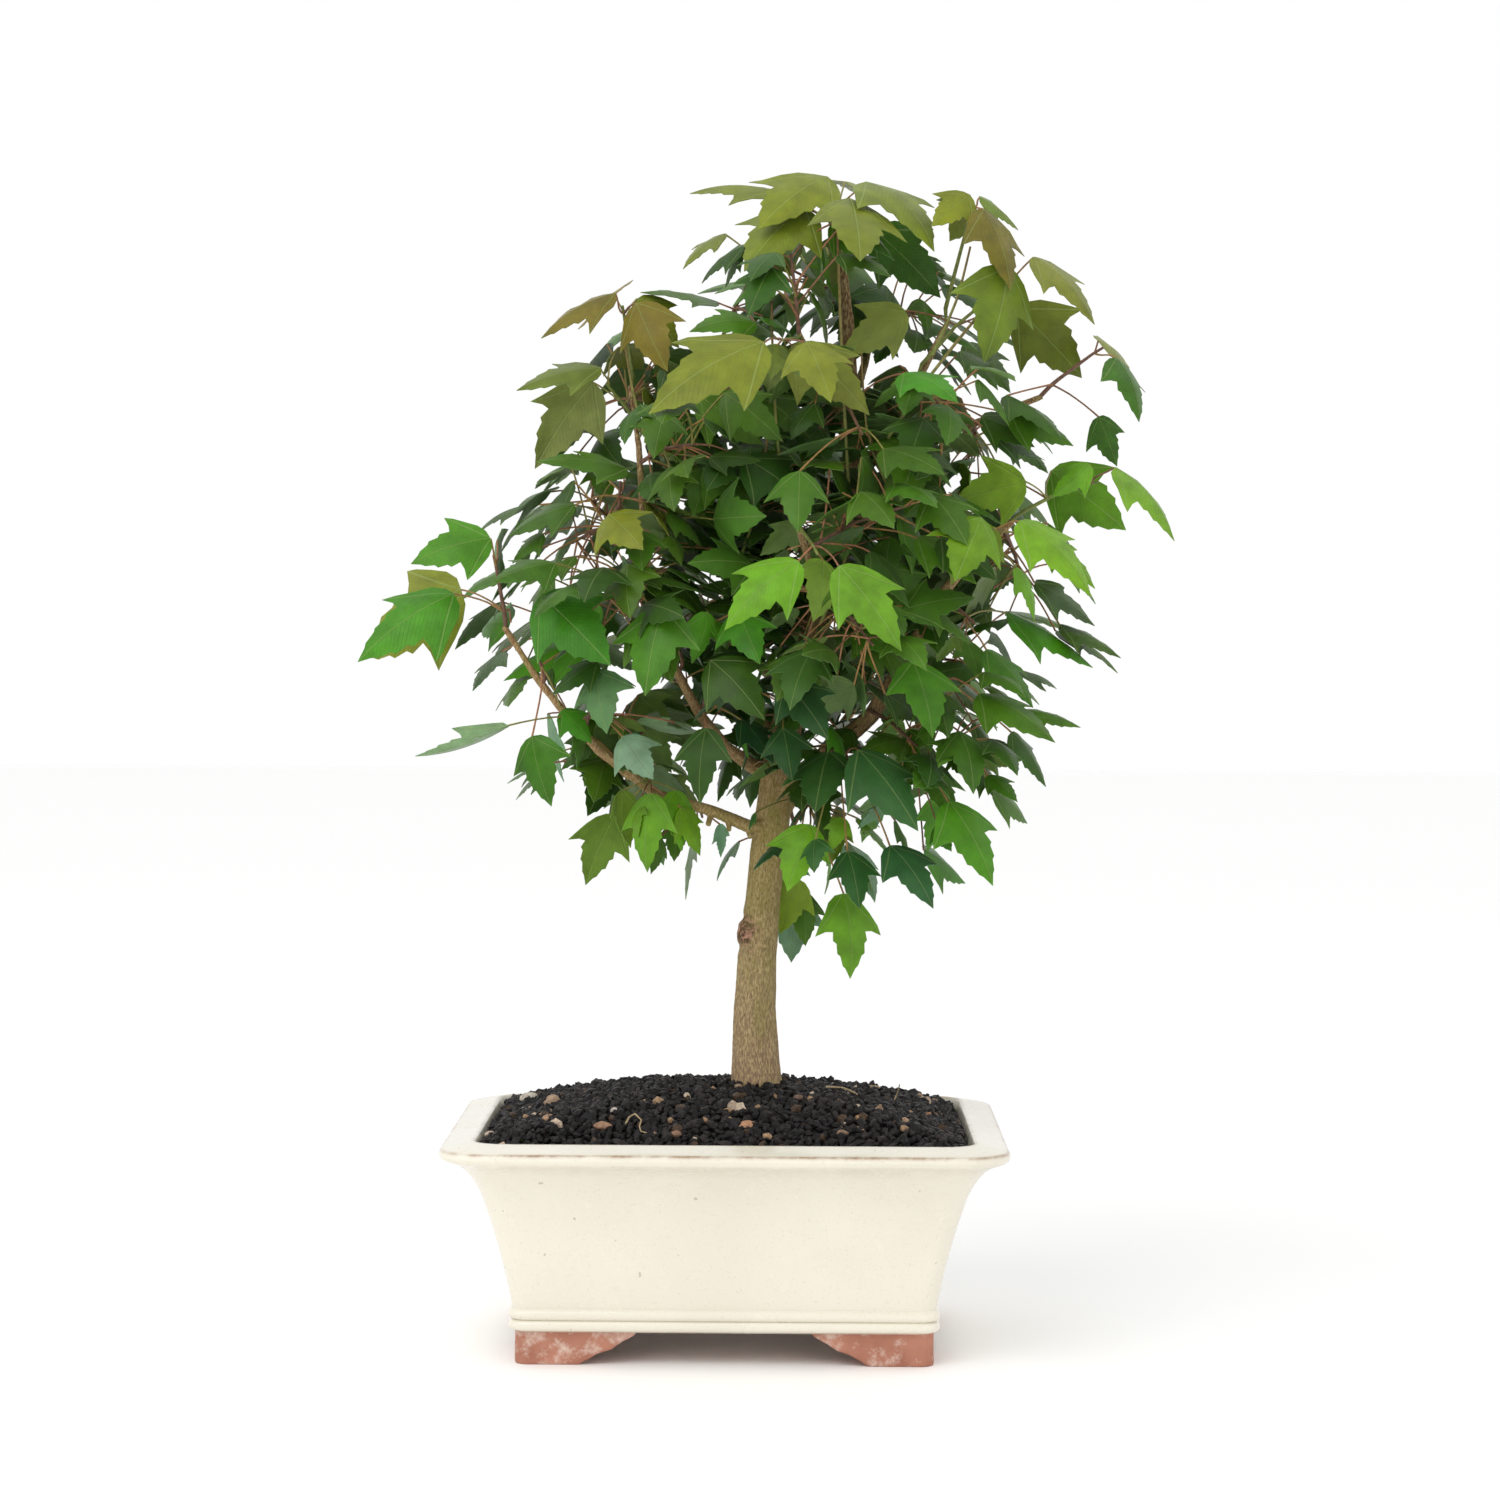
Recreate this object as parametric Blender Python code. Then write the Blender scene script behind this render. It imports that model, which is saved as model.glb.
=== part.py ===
"""A young trident maple grown as a bonsai in a cream glazed pot with bare clay feet.

The design is worked in millimetres in the pot's own frame: X along the pot, Y to the back, Z up from the
feet, with the pot's centre at X = Y = 0. Places on the tree are given above the soil's crest, so the tree
rises with the pot. Everything hangs from one empty, which puts the origin at the middle of the base.
"""

import itertools
import math
import random

import bmesh
import bpy
from mathutils import Matrix, Vector
from mathutils.bvhtree import BVHTree

MM = 0.001
GAP = 0.35

POT_LENGTH = 244.0
POT_DEPTH = 195.0
POT_HEIGHT = 97.7
POT_FLOOR = 7.0
FOOT_HEIGHT = 14.2
FOOT_WIDTH = 16.0
FOOT_REACH = 28.0
LIP_CORNER = 22.0
WALL_CORNER = 8.5
LIP_WIDTH = 14.4
BASE_INSET = 30.6
WALL = 7.0
HOLE_RADIUS = 8.0
HOLE_SPACING = 78.0

SOIL_EDGE_DROP = 6.0
MOUND_RISE = 16.4

SCREEN_MARGIN = 6.0
SCREEN_THICKNESS = 0.9
SCREEN_BAR = 1.4
SCREEN_OPENINGS = 4
WIRE_RADIUS = 0.7

TRUNK_GIRTH = 1.0
ROOT_COUNT = 5
ROOT_DEPTH = 50.0
ROOT_RADIUS = 4.5

TWIG_RADIUS = 1.15
PETIOLE_RADIUS = 0.55
LEAF_THICKNESS = 1.0
INNER_LEAF = 38.0
INNER_PAIRS = 6
INNER_STALK = 27.0

HALF_LENGTH = POT_LENGTH / 2
HALF_DEPTH = POT_DEPTH / 2
FLOOR_TOP = FOOT_HEIGHT + POT_FLOOR
CREST = POT_HEIGHT + MOUND_RISE


# Clear the startup scene and set the empty that everything hangs from.
for old in list(bpy.data.objects):
    bpy.data.objects.remove(old, do_unlink=True)

frame = bpy.data.objects.new("bonsai_frame", None)
bpy.context.scene.collection.objects.link(frame)


def finish(name, colour, roughness, metallic=0.0):
    """A Principled material of one colour."""
    material = bpy.data.materials.new(name)
    material.use_nodes = True
    shader = material.node_tree.nodes["Principled BSDF"]
    shader.inputs["Base Color"].default_value = (*colour, 1.0)
    shader.inputs["Roughness"].default_value = roughness
    shader.inputs["Metallic"].default_value = metallic
    material.diffuse_color = (*colour, 1.0)
    return material


GLAZE = finish("cream_glaze", (0.80, 0.74, 0.58), 0.25)
SOIL = finish("black_soil", (0.020, 0.018, 0.017), 0.9)
BARK = finish("bark", (0.27, 0.20, 0.12), 0.8)
LEAF = finish("maple_leaf", (0.06, 0.15, 0.03), 0.4)
STONE = finish("tan_stone", (0.38, 0.27, 0.18), 0.85)
NET = finish("black_net", (0.02, 0.02, 0.02), 0.5)
WIRE = finish("aluminium_wire", (0.75, 0.73, 0.70), 0.35, 1.0)


def solid(name, bm, material, smooth=False):
    """Turn a bmesh drawn in millimetres into an object under the frame."""
    bmesh.ops.recalc_face_normals(bm, faces=bm.faces)
    bmesh.ops.scale(bm, vec=(MM, MM, MM), verts=bm.verts)
    mesh = bpy.data.meshes.new(name)
    bm.to_mesh(mesh)
    bm.free()
    if smooth:
        mesh.shade_smooth()
        mesh.set_sharp_from_angle(angle=math.radians(40))
    mesh.materials.append(material)
    made = bpy.data.objects.new(name, mesh)
    bpy.context.scene.collection.objects.link(made)
    made.parent = frame
    return made


def boolean(target, tool, operation="DIFFERENCE"):
    """Cut or join with an exact Boolean, applied at once, and drop the tool."""
    modifier = target.modifiers.new(operation.lower(), "BOOLEAN")
    modifier.operation = operation
    modifier.solver = "EXACT"
    modifier.object = tool
    graph = bpy.context.evaluated_depsgraph_get()
    result = bpy.data.meshes.new_from_object(target.evaluated_get(graph))
    result.name = target.data.name
    target.modifiers.clear()
    target.data = result
    bpy.data.objects.remove(tool, do_unlink=True)


def loft(bm, rings):
    """Skin a stack of equal rings, and close the first and the last."""
    rows = [[bm.verts.new(point) for point in ring] for ring in rings]
    for low, high in zip(rows, rows[1:]):
        for i in range(len(low)):
            j = (i + 1) % len(low)
            bm.faces.new((low[i], low[j], high[j], high[i]))
    bm.faces.new(rows[0][::-1])
    bm.faces.new(rows[-1])


def rounded_ring(half_x, half_y, corner, z, steps=4):
    """The points of a rectangle with round corners, level at z."""
    ring = []
    for quarter, (sx, sy) in enumerate(((1, 1), (-1, 1), (-1, -1), (1, -1))):
        for step in range(steps + 1):
            angle = math.radians(90 * quarter + 90 * step / steps)
            x = sx * (half_x - corner) + corner * math.cos(angle)
            y = sy * (half_y - corner) + corner * math.sin(angle)
            ring.append((x, y, z))
    return ring


def block(low, high):
    """A plain box in millimetres, as a bmesh."""
    bm = bmesh.new()
    low, high = Vector(low), Vector(high)
    bmesh.ops.create_cube(bm, size=1.0)
    bmesh.ops.scale(bm, vec=high - low, verts=bm.verts)
    bmesh.ops.translate(bm, vec=(low + high) / 2, verts=bm.verts)
    return bm


# ---- Pot: one fired piece, its lip, walls, floor and four feet together ----
BEAD = 1.2
BASE_Z = FOOT_HEIGHT
WALL_FOOT_Z = BASE_Z + 10.6
LIP_EDGE_Z = POT_HEIGHT - 3.2
LIP_THICKNESS = 4.4
# Each row of the outside is (inset from the lip's edge, height, corner radius), from the base up.
OUTSIDE = (
    (BASE_INSET + 0.4, BASE_Z, 6.5),
    (BASE_INSET - BEAD, BASE_Z + 1.6, 7.5),
    (BASE_INSET - BEAD, BASE_Z + 3.8, 7.5),
    (BASE_INSET - 0.2, BASE_Z + 5.0, 6.8),
    (BASE_INSET - BEAD, BASE_Z + 6.2, 7.5),
    (BASE_INSET - BEAD, BASE_Z + 8.4, 7.5),
    (BASE_INSET, WALL_FOOT_Z, 6.8),
    (BASE_INSET * 0.80, POT_HEIGHT - 45.5, WALL_CORNER),
    (BASE_INSET * 0.57, POT_HEIGHT - 22.5, WALL_CORNER + 1),
    (BASE_INSET * 0.44, POT_HEIGHT - 15.4, WALL_CORNER + 3),
    (BASE_INSET * 0.26, POT_HEIGHT - 10.0, WALL_CORNER + 8),
    (3.0, LIP_EDGE_Z - LIP_THICKNESS + 0.4, LIP_CORNER - 2),
    (0.0, LIP_EDGE_Z - LIP_THICKNESS / 2, LIP_CORNER),
    (0.4, LIP_EDGE_Z, LIP_CORNER),
    (3.0, LIP_EDGE_Z + 1.2, LIP_CORNER - 2),
    (LIP_WIDTH, POT_HEIGHT, LIP_CORNER - 9),
)
MOUTH_Z = POT_HEIGHT - 2.0


def inside_inset(z):
    """How far the inner wall stands in from the lip's edge at a height."""
    rise = (z - FLOOR_TOP) / (MOUTH_Z - FLOOR_TOP)
    return (LIP_WIDTH + 1.2) * rise + (BASE_INSET + WALL) * (1 - rise)


def inside_ring(z, gap=0.0):
    """The inner wall's outline at a height, or a line drawn this far clear of it."""
    inset = inside_inset(z) + gap
    return rounded_ring(HALF_LENGTH - inset, HALF_DEPTH - inset, 9.0, z)


def pot():
    bm = bmesh.new()
    rings = [rounded_ring(HALF_LENGTH - i, HALF_DEPTH - i, c, z) for i, z, c in OUTSIDE]
    rings += [inside_ring(z) for z in (MOUTH_Z, (MOUTH_Z + FLOOR_TOP) / 2, FLOOR_TOP)]
    loft(bm, rings)
    body = solid("pot", bm, GLAZE, smooth=True)

    foot_x = HALF_LENGTH - BASE_INSET - 1.0
    foot_y = HALF_DEPTH - BASE_INSET - 1.0
    embed = POT_FLOOR / 2
    bm = bmesh.new()
    loft(bm, [rounded_ring(foot_x, foot_y, 6.0, z) for z in (0.0, FOOT_HEIGHT + embed)])
    feet = solid("feet", bm, GLAZE)
    for half, across, along in ((foot_x, foot_y, 0), (foot_y, foot_x, 1)):
        boolean(feet, solid("arch", arch(half, across, along), GLAZE))
    inner_x = foot_x - FOOT_WIDTH
    inner_y = foot_y - FOOT_WIDTH
    top = FOOT_HEIGHT + embed + 1
    boolean(feet, solid("middle", block((-inner_x, -inner_y, -1), (inner_x, inner_y, top)), GLAZE))
    boolean(body, feet, "UNION")

    for side in (-1, 1):
        bm = bmesh.new()
        height = POT_FLOOR + 4
        place = Matrix.Translation((side * HOLE_SPACING / 2, 0, FOOT_HEIGHT + POT_FLOOR / 2))
        bmesh.ops.create_cone(
            bm, cap_ends=True, segments=16, radius1=HOLE_RADIUS, radius2=HOLE_RADIUS,
            depth=height, matrix=place,
        )
        boolean(body, solid("hole", bm, GLAZE))
    return body


def arch(half, across, along):
    """The tool that opens the gap between two feet: an ogee on each side of a flat top."""
    reach = half - FOOT_REACH
    top = FOOT_HEIGHT
    side = [
        (reach, -1.0), (reach, 0.0), (reach - 8.0, 0.33 * top), (reach - 14.0, 0.48 * top),
        (reach - 19.0, 0.72 * top), (reach - 24.0, 0.90 * top), (reach - 27.0, top + POT_FLOOR),
    ]
    outline = side + [(-x, z) for x, z in reversed(side)]
    rings = []
    for end in (-across - 5, across + 5):
        if along == 0:
            rings.append([(x, end, z) for x, z in outline])
        else:
            rings.append([(end, x, z) for x, z in outline])
    bm = bmesh.new()
    loft(bm, rings)
    return bm


# ---- Soil: a mound of fine black mix, cut to clear everything bedded in it ----
SOIL_EDGE_Z = POT_HEIGHT - SOIL_EDGE_DROP
MOUND_STEPS = (0.9, 0.7, 0.45, 0.2)


def mound_height(x, y):
    """The soil's surface over a point of the pot's plan."""
    edge = inside_inset(SOIL_EDGE_Z)
    across = max(abs(x) / (HALF_LENGTH - edge), abs(y) / (HALF_DEPTH - edge))
    return SOIL_EDGE_Z + (CREST - SOIL_EDGE_Z) * (1 - min(across, 1.0) ** 1.8)


def soil():
    bm = bmesh.new()
    floor = FLOOR_TOP + GAP
    rings = [inside_ring(z, GAP) for z in (floor, (floor + SOIL_EDGE_Z) / 2, SOIL_EDGE_Z)]
    rim = rings[-1]
    for share in MOUND_STEPS:
        ring = [(x * share, y * share, 0) for x, y, _ in rim]
        rings.append([(x, y, SOIL_EDGE_Z + (CREST - SOIL_EDGE_Z) * (1 - share ** 1.8)) for x, y, _ in ring])
    loft(bm, rings)
    return solid("soil", bm, SOIL, smooth=True)


# ---- Pebbles: half sunk in the soil ----
# Each is (name, share of the half length, share of the half depth, size in X, Y and Z).
PEBBLES = (
    ("pebble_left_large", -0.80, 0.10, (10.5, 9.0, 9.5)),
    ("pebble_left_flat", -0.80, -0.34, (12.5, 8.0, 6.0)),
    ("pebble_middle", 0.03, -0.55, (7.5, 7.0, 6.5)),
    ("pebble_orange", 0.10, -0.80, (11.0, 7.5, 5.5)),
    ("pebble_right_back", 0.90, 0.62, (9.0, 8.0, 8.0)),
)


def pebble_mesh(index, share_x, share_y, size, gap=0.0):
    """An uneven little stone, or the pocket that clears it."""
    rng = random.Random(40 + index)
    edge = inside_inset(SOIL_EDGE_Z) + max(size) / 2 + 2
    x = share_x * (HALF_LENGTH - edge)
    y = share_y * (HALF_DEPTH - edge)
    bm = bmesh.new()
    bmesh.ops.create_icosphere(bm, subdivisions=1, radius=1.0)
    for vert in bm.verts:
        vert.co *= rng.uniform(0.86, 1.08)
    bmesh.ops.scale(bm, vec=[half / 2 + gap * 1.3 for half in size], verts=bm.verts)
    bmesh.ops.translate(bm, vec=(x, y, mound_height(x, y) + 0.12 * size[2]), verts=bm.verts)
    return bm


def pebbles(bed):
    for index, (name, share_x, share_y, size) in enumerate(PEBBLES):
        boolean(bed, solid("pocket", pebble_mesh(index, share_x, share_y, size, GAP), SOIL))
        solid(name, pebble_mesh(index, share_x, share_y, size), STONE)


# ---- Drainage nets and the wires that hold them over the two holes ----
SCREEN_HALF = HOLE_RADIUS + SCREEN_MARGIN
SCREEN_PITCH = (2 * SCREEN_HALF - SCREEN_BAR) / SCREEN_OPENINGS
SCREEN_Z = FLOOR_TOP + GAP
WIRE_Z = SCREEN_Z + SCREEN_THICKNESS + GAP + WIRE_RADIUS


def net(side):
    """A square of plastic net with square openings."""
    x0 = side * HOLE_SPACING / 2
    wide = SCREEN_PITCH - SCREEN_BAR
    low, high = SCREEN_Z, SCREEN_Z + SCREEN_THICKNESS
    plate = block((x0 - SCREEN_HALF, -SCREEN_HALF, low), (x0 + SCREEN_HALF, SCREEN_HALF, high))
    name = "drainage_net_left" if side < 0 else "drainage_net_right"
    made = solid(name, plate, NET)
    bm = bmesh.new()
    for i, j in itertools.product(range(SCREEN_OPENINGS), repeat=2):
        x = x0 - SCREEN_HALF + SCREEN_BAR + i * SCREEN_PITCH
        y = -SCREEN_HALF + SCREEN_BAR + j * SCREEN_PITCH
        opening = bmesh.ops.create_cube(bm, size=1.0)["verts"]
        bmesh.ops.scale(bm, vec=(wide, wide, 4 * SCREEN_THICKNESS), verts=opening)
        middle = (x + wide / 2, y + wide / 2, (low + high) / 2)
        bmesh.ops.translate(bm, vec=middle, verts=opening)
    boolean(made, solid("openings", bm, NET))
    return made


def tube(bm, points, radii, sides, longer=0.0):
    """A closed tube through points, one ring at each, turned as little as the path allows."""
    points = [Vector(point) for point in points]
    points[0] += (points[0] - points[1]).normalized() * longer
    points[-1] += (points[-1] - points[-2]).normalized() * longer
    tangent = (points[1] - points[0]).normalized()
    across = tangent.orthogonal().normalized()
    rings = []
    for i, point in enumerate(points):
        before = points[max(i - 1, 0)]
        after = points[min(i + 1, len(points) - 1)]
        turned = (after - before).normalized()
        across = (tangent.rotation_difference(turned) @ across).normalized()
        tangent = turned
        up = tangent.cross(across)
        ring = []
        for k in range(sides):
            angle = 2 * math.pi * k / sides
            ring.append(point + radii[i] * (math.cos(angle) * across + math.sin(angle) * up))
        rings.append(ring)
    loft(bm, rings)


def staple(side):
    """A bent wire: across the net, down through two of its openings and the hole, and out under the floor."""
    x0 = side * HOLE_SPACING / 2
    arm = SCREEN_PITCH / 2
    under = FOOT_HEIGHT - GAP - WIRE_RADIUS
    foot = HOLE_RADIUS + 4.0
    half = [(0, WIRE_Z), (arm - 1.2, WIRE_Z), (arm - 0.3, WIRE_Z - 0.5), (arm, WIRE_Z - 1.6),
            (arm, under + 1.6), (arm + 0.5, under + 0.4), (arm + 1.8, under), (foot, under)]
    path = [(x0 - x, arm, z) for x, z in reversed(half[1:])] + [(x0 + x, arm, z) for x, z in half]
    bm = bmesh.new()
    tube(bm, path, [WIRE_RADIUS] * len(path), 6)
    return solid("staple_left" if side < 0 else "staple_right", bm, WIRE, smooth=True)


def drainage(bed):
    for side in (-1, 1):
        net(side)
        staple(side)
        x0 = side * HOLE_SPACING / 2
        half = SCREEN_HALF + GAP
        top = WIRE_Z + WIRE_RADIUS + GAP
        boolean(bed, solid("bed", block((x0 - half, -half, 0), (x0 + half, half, top)), SOIL))


# ---- Trunk, roots and branches: one grown piece of wood ----
# Each row is (X, Y, height above the soil's crest, radius).
TRUNK = (
    (15, 0, -34, 15.5), (14, 0, -12, 14.0), (13, 0, 1, 11.6), (12.5, 0, 12, 10.8), (12, 0, 34, 9.6),
    (13, 0, 56, 8.9), (15.5, 0, 83, 8.0), (17, 0, 101, 7.8), (19, 0, 115, 8.1), (22, 0, 141, 7.6),
    (28, 2, 172, 6.6), (38, 4, 202, 6.0), (47, 4, 228, 5.4), (54, 2, 283, 4.0), (52, 0, 336, 2.8),
    (49, 0, 366, 1.8),
)
BRANCHES = {
    "left_low": ((19, -2, 114, 3.4), (9, -8, 115, 2.9), (-7, -14, 122, 2.5), (-31, -20, 129, 2.3),
                 (-57, -26, 149, 2.0), (-73, -28, 167, 1.8), (-84, -30, 181, 1.6), (-98, -31, 203, 1.4)),
    "left_mid": ((22, -1, 136, 3.8), (10, -8, 142, 3.3), (-1, -14, 150, 2.8), (-13, -20, 165, 2.4),
                 (-23, -25, 184, 2.1), (-36, -28, 220, 1.8), (-50, -30, 254, 1.4)),
    "left_fork": ((-36, -28, 219, 1.6), (-38, -23, 250, 1.5), (-40, -18, 282, 1.4), (-44, -14, 309, 1.2)),
    "right_main": ((22, -2, 132, 5.4), (35, -8, 140, 4.7), (50, -14, 153, 4.1), (63, -18, 165, 3.7),
                   (78, -22, 190, 3.1), (92, -24, 216, 2.5), (104, -22, 232, 2.1), (124, -16, 250, 1.6)),
    "right_back": ((20, 3, 113, 3.6), (31, 15, 131, 2.7), (41, 30, 146, 2.3), (58, 52, 168, 1.9),
                   (70, 78, 192, 1.5)),
    "right_high": ((54, 2, 272, 3.0), (76, 4, 284, 2.2), (108, 4, 294, 1.8), (138, 0, 306, 1.4)),
    "upper_left": ((45, 3, 222, 3.6), (32, -4, 239, 2.8), (23, -8, 261, 2.3), (8, -10, 292, 1.8),
                   (-8, -10, 320, 1.4)),
    "upper_right": ((52, 2, 264, 3.0), (66, -6, 284, 2.3), (82, -10, 311, 1.8), (96, -8, 339, 1.4)),
    "back_low": ((23, 3, 146, 3.4), (14, 30, 166, 2.7), (2, 60, 190, 2.1), (-8, 88, 216, 1.5)),
    "back_mid": ((38, 5, 198, 3.2), (44, 34, 216, 2.4), (52, 66, 240, 1.9), (56, 90, 262, 1.4)),
    "back_left": ((28, 4, 172, 3.2), (4, 26, 196, 2.4), (-26, 44, 220, 1.9), (-50, 56, 242, 1.4)),
    "front_mid": ((34, 2, 190, 3.0), (38, -28, 206, 2.3), (36, -56, 228, 1.8), (30, -78, 246, 1.4)),
    "front_high": ((54, 0, 288, 2.6), (42, -22, 308, 1.9), (30, -40, 330, 1.4)),
    "back_high": ((53, 1, 300, 2.4), (60, 26, 322, 1.8), (64, 44, 342, 1.4)),
}
KNOT = (9.0, -2.0, 67)
KNOT_SIZE = (5.2, 6.0, 8.5)


def on_tree(place):
    """A place on the tree, from its height above the soil's crest to the pot's frame."""
    return Vector((place[0], place[1], place[2] + CREST))


def limb(rows, sides, clear=0.0):
    """One tapered limb, or the same line drawn clear of it."""
    bm = bmesh.new()
    radii = [row[3] * TRUNK_GIRTH + clear for row in rows]
    tube(bm, [on_tree(row) for row in rows], radii, sides, clear)
    return bm


def root_rows(index):
    """A root that leaves the base, runs out and turns down through the soil."""
    turn = 2 * math.pi * (index + 0.35) / ROOT_COUNT
    out = Vector((math.cos(turn), math.sin(turn), 0))
    reach = 0.42 * (HALF_DEPTH - inside_inset(SOIL_EDGE_Z)) * (1.3 if abs(out.x) > 0.7 else 1.0)
    base = Vector((14.5, 0, 0))
    rows = []
    for share, drop, size in ((0.1, -18, 1.5), (0.45, -24, 1.1), (0.8, -36, 0.8), (1.0, -ROOT_DEPTH, 0.45)):
        place = base + out * reach * share
        rows.append((place.x, place.y, drop, ROOT_RADIUS * size))
    return rows


def wood(clear=0.0):
    """The trunk with its roots, knot and branches joined, or the pocket the buried part needs."""
    trunk = solid("trunk_and_branches", limb(TRUNK, 12, clear), BARK, smooth=True)
    for index in range(ROOT_COUNT):
        boolean(trunk, solid("root", limb(root_rows(index), 6, clear), BARK), "UNION")
    if clear:
        return trunk
    bm = bmesh.new()
    bmesh.ops.create_icosphere(bm, subdivisions=2, radius=1.0)
    bmesh.ops.scale(bm, vec=[half * TRUNK_GIRTH for half in KNOT_SIZE], verts=bm.verts)
    bmesh.ops.translate(bm, vec=on_tree(KNOT), verts=bm.verts)
    boolean(trunk, solid("knot", bm, BARK), "UNION")
    for name, rows in BRANCHES.items():
        sides = 8 if rows[0][3] > 3.3 else 6
        boolean(trunk, solid(name, limb(rows, sides), BARK), "UNION")
    return trunk


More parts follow.
